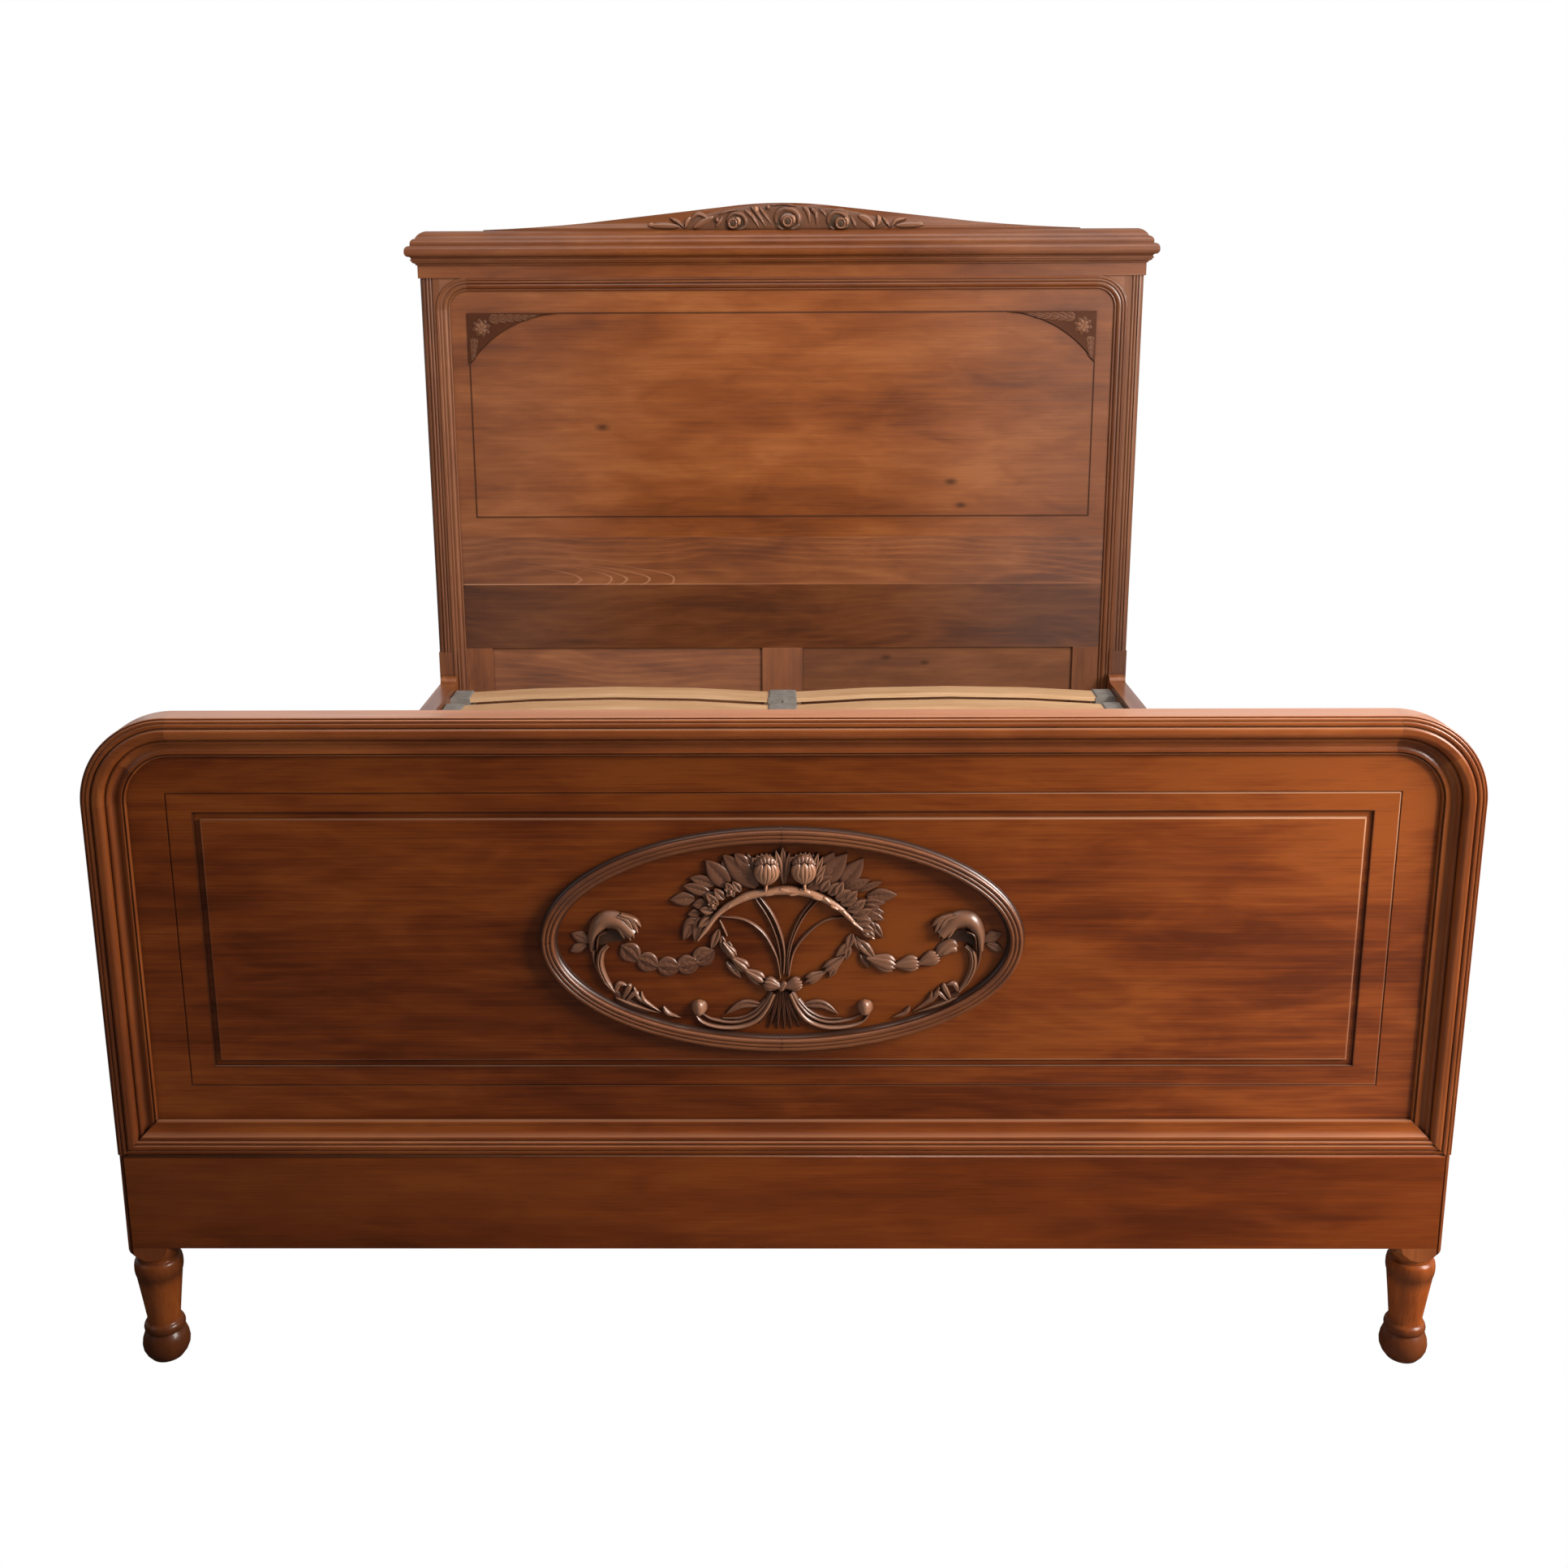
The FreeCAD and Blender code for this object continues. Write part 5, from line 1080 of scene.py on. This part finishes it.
def medallion():
    field = Relief(OVAL_CENTRE)
    leaf, stem, husk, ball = field.leaf, field.stem, field.husk, field.ball

    # Broad leaves behind everything, left then right
    for base, tip, half, lift in [
        ((-106, 54), (-136, 53), 7.5, 0.8), ((-88, 62), (-120, 72), 6.5, 1.6),
        ((-82, 72), (-112, 82), 6.5, 1.0), ((-64, 69), (-92, 104), 10.5, 1.8),
        ((-61, 78), (-72, 104), 6.5, 0.8), ((-30, 70), (-71, 111), 11.5, 2.2),
        ((-42, 96), (-57, 113), 6.5, 2.6), ((-37, 84), (-41, 112), 6, 1.4),
        ((-100, 36), (-115, 34), 4.5, 1.0), ((-104, 27), (-119, 23), 4.5, 1.0),
        ((-104, 34), (-121, 0), 7, 0.6), ((-100, 30), (-107, -2), 5.5, 1.4), ((-88, 36), (-98, 4), 6.5, 0.8),
        ((-90, 48), (-109, 46), 6.5, 1.2), ((-76, 54), (-98, 60), 5.5, 1.8), ((40, 72), (63, 114), 10.5, 1.2),
        ((44, 70), (79, 112), 11.5, 1.8), ((72, 70), (99, 106), 9.5, 1.4), ((76, 66), (107, 79), 5.5, 2.2),
        ((92, 64), (122, 76), 4, 1.2), ((104, 57), (140, 59), 7.5, 1.2), ((32, 68), (62, 84), 7, 2.8),
        ((97, 48), (126, 49), 5, 1.6), ((98, 42), (119, 43), 5, 2.0), ((100, 40), (125, 36), 5, 1.6),
        ((100, 36), (125, 27), 5, 2.0), ((96, 26), (119, 34), 5, 2.4), ((92, 30), (111, 24), 5.5, 2.6),
        ((98, 26), (115, 14), 5.5, 1.8), ((100, 20), (114, 2), 5, 1.4), ((108, 24), (124, 3), 4.5, 1.0),
    ]:
        leaf(base, tip, half * 1.28, lift=lift, worn=0.14)
    # Smaller curled leaves over them, next to the branch
    for base, tip, half, lift in [
        ((-78, 46), (-92, 62), 5.5, 3.2), ((-70, 54), (-82, 68), 5.5, 3.4), ((-58, 62), (-68, 76), 5, 3.4),
        ((-84, 38), (-100, 42), 5, 3.2), ((-50, 64), (-60, 78), 4.5, 3.6), ((-88, 30), (-102, 18), 4.5, 2.8),
        ((48, 64), (58, 80), 5.5, 3.4), ((58, 60), (70, 76), 6.5, 4.0), ((66, 54), (84, 66), 6.5, 4.0),
        ((72, 48), (92, 56), 6, 4.2), ((80, 40), (100, 46), 6, 4.2), ((86, 32), (106, 36), 6, 4.0),
        ((90, 24), (110, 26), 5.5, 3.8), ((94, 18), (112, 14), 5.5, 3.4), ((98, 12), (114, 6), 4.5, 3.0),
        ((66, 60), (74, 78), 5, 5.4), ((78, 52), (92, 66), 5, 5.6), ((86, 42), (102, 54), 5, 5.4),
        ((92, 34), (110, 42), 4.5, 5.0),
    ]:
        leaf(base, tip, half * 1.22, rise=3.6, lift=lift, curl=2.4, worn=0.34)

    # Stems between the branch and the tie
    for points, half, rise in [
        ([(-76, 31), (-47, 27), (-25, 12), (-12, -9), (-5, -28), (-2, -51)], 2.2, 3.8),
        ([(-33, 56), (-18, 32), (-8, 8), (-3, -14), (-1, -44)], 1.7, 3.4),
        ([(-27, 57), (-12, 34), (-2, 9), (3, -16), (2, -44)], 2.4, 4.2),
        ([(40, 55), (23, 31), (12, 5), (7, -18), (6, -44)], 1.7, 3.4),
        ([(45, 53), (27, 31), (15, 6), (9, -18), (8, -44)], 1.9, 3.8),
        ([(82, 31), (52, 25), (29, 6), (14, -17), (8, -48)], 2.2, 3.8), ([(-76, 26), (-67, 5)], 1.8, 2.6),
    ]:
        stem(points, half, rise, worn=0.25, form=pillow(1.6))

    # The branch, knotted along its length
    field.blade([(-103, 0), (-92, 16), (-76, 37), (-51, 54), (-25, 62), (2, 65), (28, 63), (52, 54), (72, 41),
                 (91, 21), (113, 2)], 6.0, 6.6, lambda t: 0.22 + 0.78 * math.sin(math.pi * t) ** 0.8,
                pillow(2.6, 1.5, 0.05), 2.2, wave=0.06, worn=0.75, along=110, across=14)
    for x, z, r, tilt in [(-64, 46, 4.6, 40), (-44, 57, 5.4, 24), (-14, 62.5, 7.5, 14), (3, 67, 6.5, -8),
                          (15, 62, 6.5, 10), (28, 65.5, 7.5, -20), (42, 57, 7.0, -24), (55, 54, 6.0, -44),
                          (64, 44.5, 6.0, -30), (77, 37, 5.4, -52), (88, 24, 4.6, -44)]:
        way = heading(tilt) * r
        field.blade([(x - way.x, z - way.y), (x + way.x, z + way.y)], r * 0.42, 2.0, bud_width, pillow(1.5),
                    7.2, worn=1.0, along=12, across=10)
    for x, z, size in [(-62, 65, 8.5), (-84, 47, 7.0)]:
        for turn in range(5):
            angle = math.radians(72 * turn + 15)
            leaf((x, z), (x + size * math.cos(angle), z + size * math.sin(angle)), size * 0.38, 2.4, 5.2,
                 worn=0.4)
        ball(x, z, 2.6, 3.0, 6.4, 0.5)

    # Two round buds with short stalks, and the sprig between them
    leaf((3, 74), (1, 121), 6.5, 3.0, 2.0, worn=0.3)
    leaf((-1, 88), (-7, 117), 4.2, 3.0, 5.0, worn=0.6)
    leaf((6, 84), (9, 114), 4.0, 2.6, 3.4, worn=0.2)
    for x, z, lean in ((-18, 91, -1.5), (27, 92, 1.0)):
        field.bud(x, z, 16.8, 20.0, 11.0, lean)
        stem([(x + lean, z - 25), (x + lean * 0.5, z - 17)], 2.4, 4.0, lift=6.5, along=8, worn=0.9)
    for root, tip in (((40, 84), (50, 110)), ((42, 80), (53, 100)), ((42, 74), (50, 90)),
                      ((38, 90), (44, 114))):
        leaf(root, tip, 4.0, 3.2, 5.0, worn=0.6)

    # Garland husks down to the tie
    for base, mouth, half in [
        ((-72, -2), (-57, -24), 6.0), ((-63, -21), (-41, -40), 7.5), ((-47, -38), (-21, -56), 8.5),
        ((78, -20), (51, -42), 7.5), ((54, -41), (28, -55), 7.0),
    ]:
        husk(base, mouth, half, 5.2, worn=0.3)
    for base, tip, half in [
        ((-77, 14), (-87, -12), 5.5), ((-74, 5), (-70, -17), 4.5), ((-68, -28), (-50, -50), 5),
        ((86, 8), (80, -12), 6), ((84, -4), (66, -22), 6), ((82, -6), (79, -26), 5),
        ((68, -32), (58, -50), 4.5), ((-66, -2), (-60, -20), 3.6), ((90, 4), (96, -14), 5),
    ]:
        leaf(base, tip, half, 3.0, 1.0, worn=0.25)
    # The tie
    for side in (-1, 1):
        husk((side * 1 + 1, -61), (side * 25 + 1, -55), 9.0, 6.5, 2.2, lobes=4, worn=0.25)
    field.blade([(-3, -66), (5, -54)], 5.0, 4.5, bud_width, pillow(2.0, 2.0, 0.10), 4.5, worn=0.3)
    for base, tip, half in [
        ((-7, -66), (-17, -118), 3.6), ((-3, -66), (-6, -119), 3.4), ((2, -66), (3, -119), 3.4),
        ((6, -66), (12, -118), 3.4), ((10, -68), (22, -116), 3.6), ((13, -70), (35, -112), 3.8),
        ((-11, -68), (-28, -111), 3.8), ((0, -68), (-11, -112), 2.6), ((8, -68), (17, -110), 2.6),
    ]:
        field.blade([(base[0] * 0.6, base[1]), ((base[0] * 0.75 + tip[0] * 0.25), (base[1] + tip[1]) / 2),
                     tip],
                    half * 0.85, 4.0, leaf_width, pillow(1.6, groove=0.5), 0.8, worn=0.0)

    # Side swags: pairs of leaves on the left, cups of petals on the right
    for x, z, tilt in [(-97, -22, 28), (-117, -33, 10), (-141, -35, -8), (-166, -29, -30), (-187, -16, -48)]:
        way = heading(tilt)
        side = Vector((-way.y, way.x))
        spot = Vector((x, z))
        for sign, lift, worn in ((-1, 0.5, 0.05), (1, 1.5, 0.18)):
            field.blade([spot - way * 14.0 - side * sign * 1.0, spot + side * sign * 6.0,
                         spot + way * 16.5 + side * sign * 1.0], 7.4, 2.3,
                         lambda t: leaf_width(t, 0.48, 0.12),
                        veined(4.0, 0.45), lift, worn=worn, along=24, across=18)
    for base, mouth, half in [((104, -23), (141, -35), 11.5), ((138, -33), (170, -30), 10.5),
                              ((167, -31), (194, -20), 9.5)]:
        husk(base, mouth, half, 5.6, lobes=4, worn=0.3)
    field.blade([(190, -21), (203, -9), (216, -7)], 10, 4.4, bud_width, pillow(2.6, 2.0, 0.10, 0.2), 1.0,
                worn=0.3)
    field.blade([(196, -19), (206, -12), (215, -13)], 5, 2.4, bud_width, pillow(2.0), 3.6, worn=0.4)
    leaf((92, 1), (115, -25), 7, 3.6, 1.4, worn=0.3)
    leaf((96, -18), (107, -37), 5.5, 2.4, 0.8)

    # Side flowers: a hooded cap with feathered petals at its mouth, over a hollow darkened with painted shade
    for side, cx in ((-1, -207), (1, 218)):
        def at(*points):
            return [(cx + side * x, z) for x, z in points]
        field.blade(at((26, -14), (23, 8), (12, 25), (-6, 25), (-24, 8)), 12.5, 9.0,
                    lambda t: 0.28 + 0.72 * math.sin(math.pi / 2 * min(1.0,
                                                                       t * 1.5)) ** 1.2 * (1 - 0.35 * t ** 4),
                    pillow(2.0), 1.6, worn=0.30, along=34, across=24)
        # Ridges in the cap's mouth, darkened with painted shade
        for shift in (0, 3.5, 7):
            field.blade(at((27 - shift, -12), (24 - shift, 7), (14 - shift, 20 - shift)), 1.3, 1.6, bud_width,
                        ROUND, 4.4 + shift * 0.5, worn=-0.3)
        for root, middle, tip, half in [
            ((-11, 36), (-26, 29), (-35, 18), 2.6), ((-9, 35), (-23, 29), (-31, 10), 3.2),
            ((-6, 33), (-19, 26), (-26, 3), 3.6), ((-3, 30), (-14, 21), (-22, 0), 3.6),
            ((0, 26), (-9, 17), (-15, 2), 3.2),
        ]:
            field.blade(at(root, middle, tip), half, 2.2, petal_width, pillow(2.0, groove=0.3), 7.4,
                        curl=-3.4, worn=0.50, along=16, across=10)
        # The hollow under the cap, darkened with painted shade
        field.blade(at((20, -6), (6, 5), (-14, 2)), 8, 1.4, bud_width, pillow(2.0, 4.0, 0.2), 0.6, worn=-0.6)
        field.blade(at((22, -4), (25, -18), (20, -40), (6, -60)), 3.4, 3.6, lambda t: 1 - 0.75 * t,
                    pillow(1.6), 0.6, worn=0.15, along=24)
        field.blade(at((7, -7), (15, -16), (17, -34), (10, -54), (0, -68)), 5.2, 5.6,
                    lambda t: 0.35 + 0.65 * math.sin(math.pi * min(1.0, 0.12 + 0.8 * t)),
                    pillow(1.8, groove=0.45), 1.0, worn=0.35, along=26)
        for root, tip, half in (((27, -2), (51, 9), 8.0), ((33, -5), (53, -15), 6.6)):
            field.blade(at(root, tip), half, 2.8, lambda t: leaf_width(t, 0.55, 0.35),
                        pillow(2.6, groove=0.4), 0.7, worn=0.22, along=18)
        # Acanthus under it, running in to the scroll
        field.blade(at((0, -68), (-9, -80), (-30, -91), (-50, -96)), 7.5, 2.4, leaf_width, ROUND, 0.4)
        for root, middle, tip, half, worn in [
            ((0, -70), (-6, -58), (-17, -60), 3.8, 0.35), ((-10, -78), (-18, -62), (-16, -58), 4.2, 0.3),
            ((-14, -80), (-26, -70), (-33, -84), 3.8, 0.35), ((-24, -62), (-30, -76), (-50, -92), 3.0, 0.45),
            ((-33, -68), (-37, -80), (-58, -96), 2.6, 0.5), ((-2, -76), (-24, -86), (-56, -97), 2.6, 0.45),
            ((-60, -88), (-66, -97), (-82, -103), 3.2, 0.4),
        ]:
            field.blade(at(root, middle, tip), half, 3.8, leaf_width, pillow(1.7, groove=0.35), 1.6,
                        worn=worn, along=20)
        # Scroll from the ball to the tie
        ball(side * 102.5, -89, 10.2, 10.5, 0.4, 0.45)
        stem([(side * 109, -95), (side * 100, -108), (side * 82, -115), (side * 56, -116), (side * 34, -108),
              (side * 20, -92), (side * 10, -70)], 3.6, 4.8, start=0.4, end=1.1, lift=0.8, along=44, worn=0.4,
             form=pillow(1.6))
        stem([(side * 99, -98), (side * 84, -106), (side * 58, -109), (side * 36, -101), (side * 22, -86),
              (side * 12, -68)], 3.2, 4.0, start=0.3, end=1.1, lift=0.6, along=40, worn=0.2, form=pillow(1.6))
        stem([(side * 74, -104), (side * 52, -103), (side * 34, -94), (side * 20, -78)], 2.4, 3.6, start=0.3,
             end=1.0, lift=0.5, worn=0.15, form=pillow(1.6))
        leaf((side * 24, -86), (side * 70, -98), 5.6, 3.4, 0.9, bend=0.15 * side, worn=0.2)
    relief_piece("medallion_relief", [field], "medallion_carving", True)


def relief_piece(name, fields, node, replaces):
    """A mesh from carved fields, with each point's mark: above nothing for wear and painted highlight, below
    nothing for painted shade.
    """
    mesh = mesh_from(name, [(field.vertices, field.faces) for field in fields], node)
    worn = mesh.attributes.new("worn", "FLOAT", "POINT")
    worn.data.foreach_set("value", [value for field in fields for value in field.worn])
    shown(name, mesh, node, replaces)
    smooth_by_angle(mesh, CARVED_ANGLE)


medallion()

# Crest and corner carving
CREST_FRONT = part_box("crest")[0].y
CREST_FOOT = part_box("crest")[0].z
CREST_LOW = 1.0
CREST_MARGIN = 2.0
CORNER_MARGIN = 1.5
CORNER_LIFT = 0.0008
CORNER_ROSE = (31, -34)


def crest_outline():
    """The crest's upper edge, read from the crest itself, in millimetres above its foot."""
    tops = {}
    for vertex in CAD["crest"].data.vertices:
        key = round(abs(vertex.co.x) / MM, 1)
        tops[key] = max(tops.get(key, 0.0), (vertex.co.z - CREST_FOOT) / MM)
    keys = sorted(tops)

    def at(x):
        for left, right in zip(keys, keys[1:]):
            if left <= x <= right:
                return tops[left] + (tops[right] - tops[left]) * (x - left) / (right - left)
        return tops[keys[-1]]

    return at


def crest_relief():
    outline = crest_outline()

    def inside(spot):
        return Vector((spot.x, min(max(spot.y, CREST_LOW), outline(abs(spot.x)) - CREST_MARGIN)))

    field = Relief(Vector((0.0, CREST_FRONT, CREST_FOOT)), inside)
    leaf, ball, blade = field.leaf, field.ball, field.blade
    # Ground in low swirls, darkened with painted shade
    blade([(-225, 10), (-120, 22), (0, 27), (130, 22), (245, 10)], 27, 1.6, bud_width, pillow(4.0), 0.3,
          worn=-0.25, along=80, across=16)
    # Bell-shaped roses: a folded body and a thick rim about a deep eye; painted shade darkens the body, two
    # petal arcs and the eye
    for x, z, size, eye_x, eye_z, eye in ((-102, 18, 27, -112, 14, 5.0), (15, 22, 35, 14, 18, 5.5),
                                          (131, 18, 29, 137, 13, 6.0)):
        blade([(x - size, z), (x + size, z)], size * 0.95, 2.4, bud_width, pillow(3.0), 0.6, worn=-0.9,
              along=30, across=24)
        for first, last, reach, half, rise, worn in ((200, 80, 0.80, 0.22, 5.0, -0.3),
                                                     (110, -30, 0.74, 0.24, 6.0, 0.1),
                                                     (-10, -150, 0.78, 0.20, 4.0, -0.4)):
            arc = [(x + size * reach * math.cos(math.radians(first + (last - first) * k / 6)),
                    z + size * reach * 0.9 * math.sin(math.radians(first + (last - first) * k / 6)))
                   for k in range(7)]
            blade(arc, size * half, rise, bud_width, pillow(1.8, groove=0.12), 1.6, worn=worn, along=40)
        blade([(eye_x - size * 0.52, eye_z + 3), (eye_x + size * 0.60, eye_z + 3)], size * 0.50, 7.0,
              bud_width, pillow(1.9), 1.6, worn=0.0, along=30, across=24)
        rim = [(eye_x + (eye + 4.0) * math.cos(math.pi / 4 * k),
                eye_z + (eye + 4.5) * math.sin(math.pi / 4 * k))
               for k in range(9)]
        blade(rim, 4.2, 5.0, lambda t: 1.0, pillow(1.8), 6.4, worn=0.16, along=48)
        # The eye, darkened with painted shade
        ball(eye_x, eye_z, eye, 0.4, 8.9, -1.0)
        blade([(eye_x + eye + 2, eye_z + 12), (eye_x + eye + 9, eye_z + 8), (eye_x + eye + 9, eye_z - 4)],
              5.0, 3.4, bud_width, pillow(1.8), 8.6, worn=0.62, along=20)
    for points, half, rise, worn in [
        ([(-84, 44), (-66, 30), (-50, 2)], 6.5, 7.0, 0.30),
        ([(-70, 52), (-54, 36), (-34, 4)], 6.5, 7.5, 0.22),
        ([(-50, 50), (-38, 34), (-20, 10)], 6.0, 5.5, 0.08), ([(-24, 54), (6, 58), (36, 51)], 4.5, 5.0, 0.15),
        ([(50, 52), (62, 38), (66, 10)], 7.5, 6.0, 0.15), ([(66, 50), (80, 34), (82, 6)], 6.5, 6.0, 0.10),
        ([(88, 46), (98, 38), (104, 28)], 5.0, 5.5, 0.15),
        ([(-146, 34), (-124, 42), (-100, 44)], 4.5, 5.5, 0.15),
        ([(116, 43), (142, 42), (160, 28)], 4.5, 5.0, 0.15),
        ([(-152, 6), (-142, 18), (-134, 32)], 5.5, 5.5, 0.12),
        ([(172, 5), (166, 18), (160, 32)], 5.5, 5.0, 0.12),
        ([(-212, 22), (-192, 36), (-172, 26), (-182, 12)], 6.0, 6.5, 0.30),
        ([(-156, 30), (-180, 18), (-204, 3)], 9.0, 5.5, 0.12),
        ([(-256, 27), (-238, 18), (-222, 3)], 5.5, 6.0, 0.20),
        ([(-208, 30), (-218, 18), (-222, 3)], 6.0, 7.0, 0.45),
        ([(-234, 8), (-270, 10), (-306, 10)], 8.0, 4.2, 0.12),
        ([(-292, 10), (-302, 12), (-309, 9)], 6.0, 3.6, 0.40),
        ([(176, 32), (200, 20), (216, 3)], 11.0, 6.0, 0.15),
        ([(222, 32), (226, 20), (220, 6)], 6.5, 8.0, 0.75),
        ([(234, 27), (244, 15), (252, 3)], 5.5, 6.0, 0.30),
        ([(288, 25), (264, 19), (252, 3)], 5.5, 6.5, 0.45),
        ([(262, 8), (296, 10), (326, 10)], 8.0, 4.2, 0.12),
        ([(308, 10), (320, 12), (329, 9)], 6.0, 3.6, 0.40),
    ]:
        blade(points, half, rise, leaf_width if half < 8 else bud_width, pillow(1.8, groove=0.2), 1.0,
              worn=worn, along=24)
    for x, z, size, worn in ((-58, 45, 7.5, 0.85), (-30, 50, 5, 0.3), (-148, 22, 6, 0.1), (72, 44, 5, 0.1)):
        ball(x, z, size, 7.0, 3.0, worn)
    relief_piece("crest_relief", [field], "crest_carving", True)


crest_relief()


# How far the corners' grounds reach across and down, in millimetres
CORNER_GROUND = (212.0, 118.0)


def corner_relief():
    """Rose and leaf trails on the corner grounds, which stay in view around them."""
    low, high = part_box("corner_carvings")
    arm, drop = CORNER_GROUND
    fields = []
    for side in (-1, 1):
        def inside(spot, side=side):
            across = min(max(-side * spot.x, CORNER_MARGIN), arm - 2)
            edge = drop * (1 - across / arm) ** 1.85
            return Vector((-side * across, max(min(spot.y, -CORNER_MARGIN), -max(edge - CORNER_MARGIN, 2.5))))

        field = Relief(Vector((side * high.x, low.y + CORNER_LIFT, high.z)), inside)
        cx, cz = CORNER_ROSE
        for size, count, half, lift in ((23, 8, 7.0, 0.2), (15, 6, 6.0, 1.0), (9, 5, 4.0, 1.8)):
            for step in range(count):
                angle = 2 * math.pi * step / count + size
                tip = (cx + size * math.cos(angle), cz + size * math.sin(angle))
                field.blade([(-side * cx, cz), (-side * tip[0], tip[1])], half, 2.2, petal_width,
                            pillow(2.2, groove=0.25), lift, worn=0.35 if size < 20 else 0.1)
        for step in range(8):
            x = 50 + 18 * step
            wide = 9.0 * (1 - step / 9.5)
            for up, share in ((1, 1.0), (-1, 0.8)):
                root, tip = (x, -14 + step * 0.9), (x + 24, -14 + step * 0.9 + up * (9 - step))
                field.blade([(-side * root[0], root[1]), (-side * tip[0], tip[1])], wide * share, 2.4,
                            leaf_width, LEAF, 0.3, worn=0.16)
        for step in range(5):
            z = -58 - 11 * step
            wide = 7.5 * (1 - step / 7)
            for out in (1, -1):
                field.blade([(-side * (13 - step), z), (-side * (13 - step + out * (7 - step)), z - 16)],
                            wide, 2.2, leaf_width, LEAF, 0.3, worn=0.16)
        fields.append(field)
    relief_piece("corner_relief", fields, "corner_carvings", False)


corner_relief()


# Camera: its place, its turns in degrees, lens and sensor in millimetres
CAMERA_SENSOR = 36.0
CAMERA_PLACE = (0.0028, -2.9565, 1.4002)
CAMERA_PITCH = 13.8705
CAMERA_YAW = -0.4766
CAMERA_ROLL = -0.2505
CAMERA_LENS = 38.335
CAMERA_SHIFT = (0.00892, -0.0703)


def camera():
    pitch, yaw, roll = (math.radians(v) for v in (CAMERA_PITCH, CAMERA_YAW, CAMERA_ROLL))
    ahead = Vector((math.sin(yaw) * math.cos(pitch), math.cos(yaw) * math.cos(pitch), -math.sin(pitch)))
    level = Vector((math.cos(yaw), -math.sin(yaw), 0.0))
    up = level.cross(ahead)
    right = math.cos(roll) * level + math.sin(roll) * up
    top = -math.sin(roll) * level + math.cos(roll) * up
    data = bpy.data.cameras.new("camera")
    data.sensor_width = CAMERA_SENSOR
    data.lens = CAMERA_LENS
    data.shift_x, data.shift_y = CAMERA_SHIFT
    eye = bpy.data.objects.new("camera", data)
    turn = Matrix((right, top, -ahead)).transposed().to_4x4()
    eye.matrix_world = Matrix.Translation(CAMERA_PLACE) @ turn
    bpy.context.scene.collection.objects.link(eye)
    bpy.context.scene.camera = eye


camera()


# Lights: name, place, what it aims at, size, power and colour
LIGHTS = (
    ("overhead", (0.2, -0.7, 3.2), (0.1, 0.0, 0.5), (3.0, 2.0), 72.0, (1.0, 0.96, 0.93)),
    ("key", (3.2, -2.2, 2.2), (0.1, -0.9, 0.6), (1.5, 1.5), 275.0, (1.0, 0.94, 0.88)),
    ("left_fill", (-3.0, -2.6, 1.8), (-0.4, 0.0, 0.8), (1.2, 1.6), 6.0, (0.88, 0.92, 1.0)),
)


def area_light(name, place, aim, size, power, colour):
    data = bpy.data.lights.new(name, "AREA")
    data.shape = "RECTANGLE"
    data.size, data.size_y = size
    data.energy = power
    data.color = colour
    lamp = bpy.data.objects.new(name, data)
    lamp.location = place
    lamp.rotation_euler = (Vector(aim) - Vector(place)).to_track_quat("-Z", "Y").to_euler()
    bpy.context.scene.collection.objects.link(lamp)


for light in LIGHTS:
    area_light(*light)


# The room's glow in front, behind and above, and the floor
FRONT_GLOW = 0.04
BACK_GLOW = 0.75
TOP_GLOW = 0.20
ROOM_TINT = (1.0, 0.985, 0.98, 1.0)
FLOOR_SHADE = 0.45
FLOOR_REACH = 14.0
FLOOR_DROP = 0.0004


def room():
    """Light from all round that the camera doesn't see: bright behind the bed and above, dark in front."""
    tree = Tree("room", world=True)
    way = tree.add("SeparateXYZ", {"Vector": tree.add("TexCoord").outputs["Generated"]})
    behind = tree.span(way.outputs["Y"], -0.2, 0.5, FRONT_GLOW, BACK_GLOW)
    above = tree.span(way.outputs["Z"], 0.1, 1.0, 0.0, TOP_GLOW)
    dim = tree.add("Background", {0: ROOM_TINT, 1: tree.plus(behind, above)})
    white = tree.add("Background", {0: WHITE, 1: 1.0})
    path = tree.add("LightPath")
    blend = tree.add("MixShader", {0: path.outputs["Is Camera Ray"], 1: dim.outputs[0], 2: white.outputs[0]})
    bpy.context.scene.world = tree.finish(blend.outputs[0])


def floor():
    """A floor that the camera sees as white, and that throws back a little light."""
    mesh = bpy.data.meshes.new("floor")
    mesh.from_pydata([(x * FLOOR_REACH, y * FLOOR_REACH, 0) for x, y in ((-1, -1), (1, -1), (1, 1), (-1, 1))],
                     [],
                     [(0, 1, 2, 3)])
    plane = bpy.data.objects.new("floor", mesh)
    plane.location.z = -FLOOR_DROP
    tree = Tree("floor_white")
    path = tree.add("LightPath")
    pale = tree.add("BsdfDiffuse", {"Color": (FLOOR_SHADE, FLOOR_SHADE, FLOOR_SHADE, 1.0)})
    dark = tree.add("Emission", {"Color": (1.0, 0.95, 0.9, 1.0), "Strength": 0.02})
    white = tree.add("Emission", {"Color": WHITE, "Strength": 1.0})
    mirrored = tree.add("MixShader", {0: path.outputs["Is Glossy Ray"], 1: pale.outputs[0],
                                      2: dark.outputs[0]})
    seen = tree.add("MixShader", {0: path.outputs["Is Camera Ray"], 1: mirrored.outputs[0],
                                  2: white.outputs[0]})
    mesh.materials.append(tree.finish(seen.outputs[0]))
    bpy.context.scene.collection.objects.link(plane)
    plane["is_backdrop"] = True


room()
floor()
scene = bpy.context.scene
scene.view_settings.view_transform = "Standard"
scene.view_settings.look = "None"

bounds_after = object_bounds()
[[[float(v) for v in corner] for corner in box] for box in (bounds_before, bounds_after)]
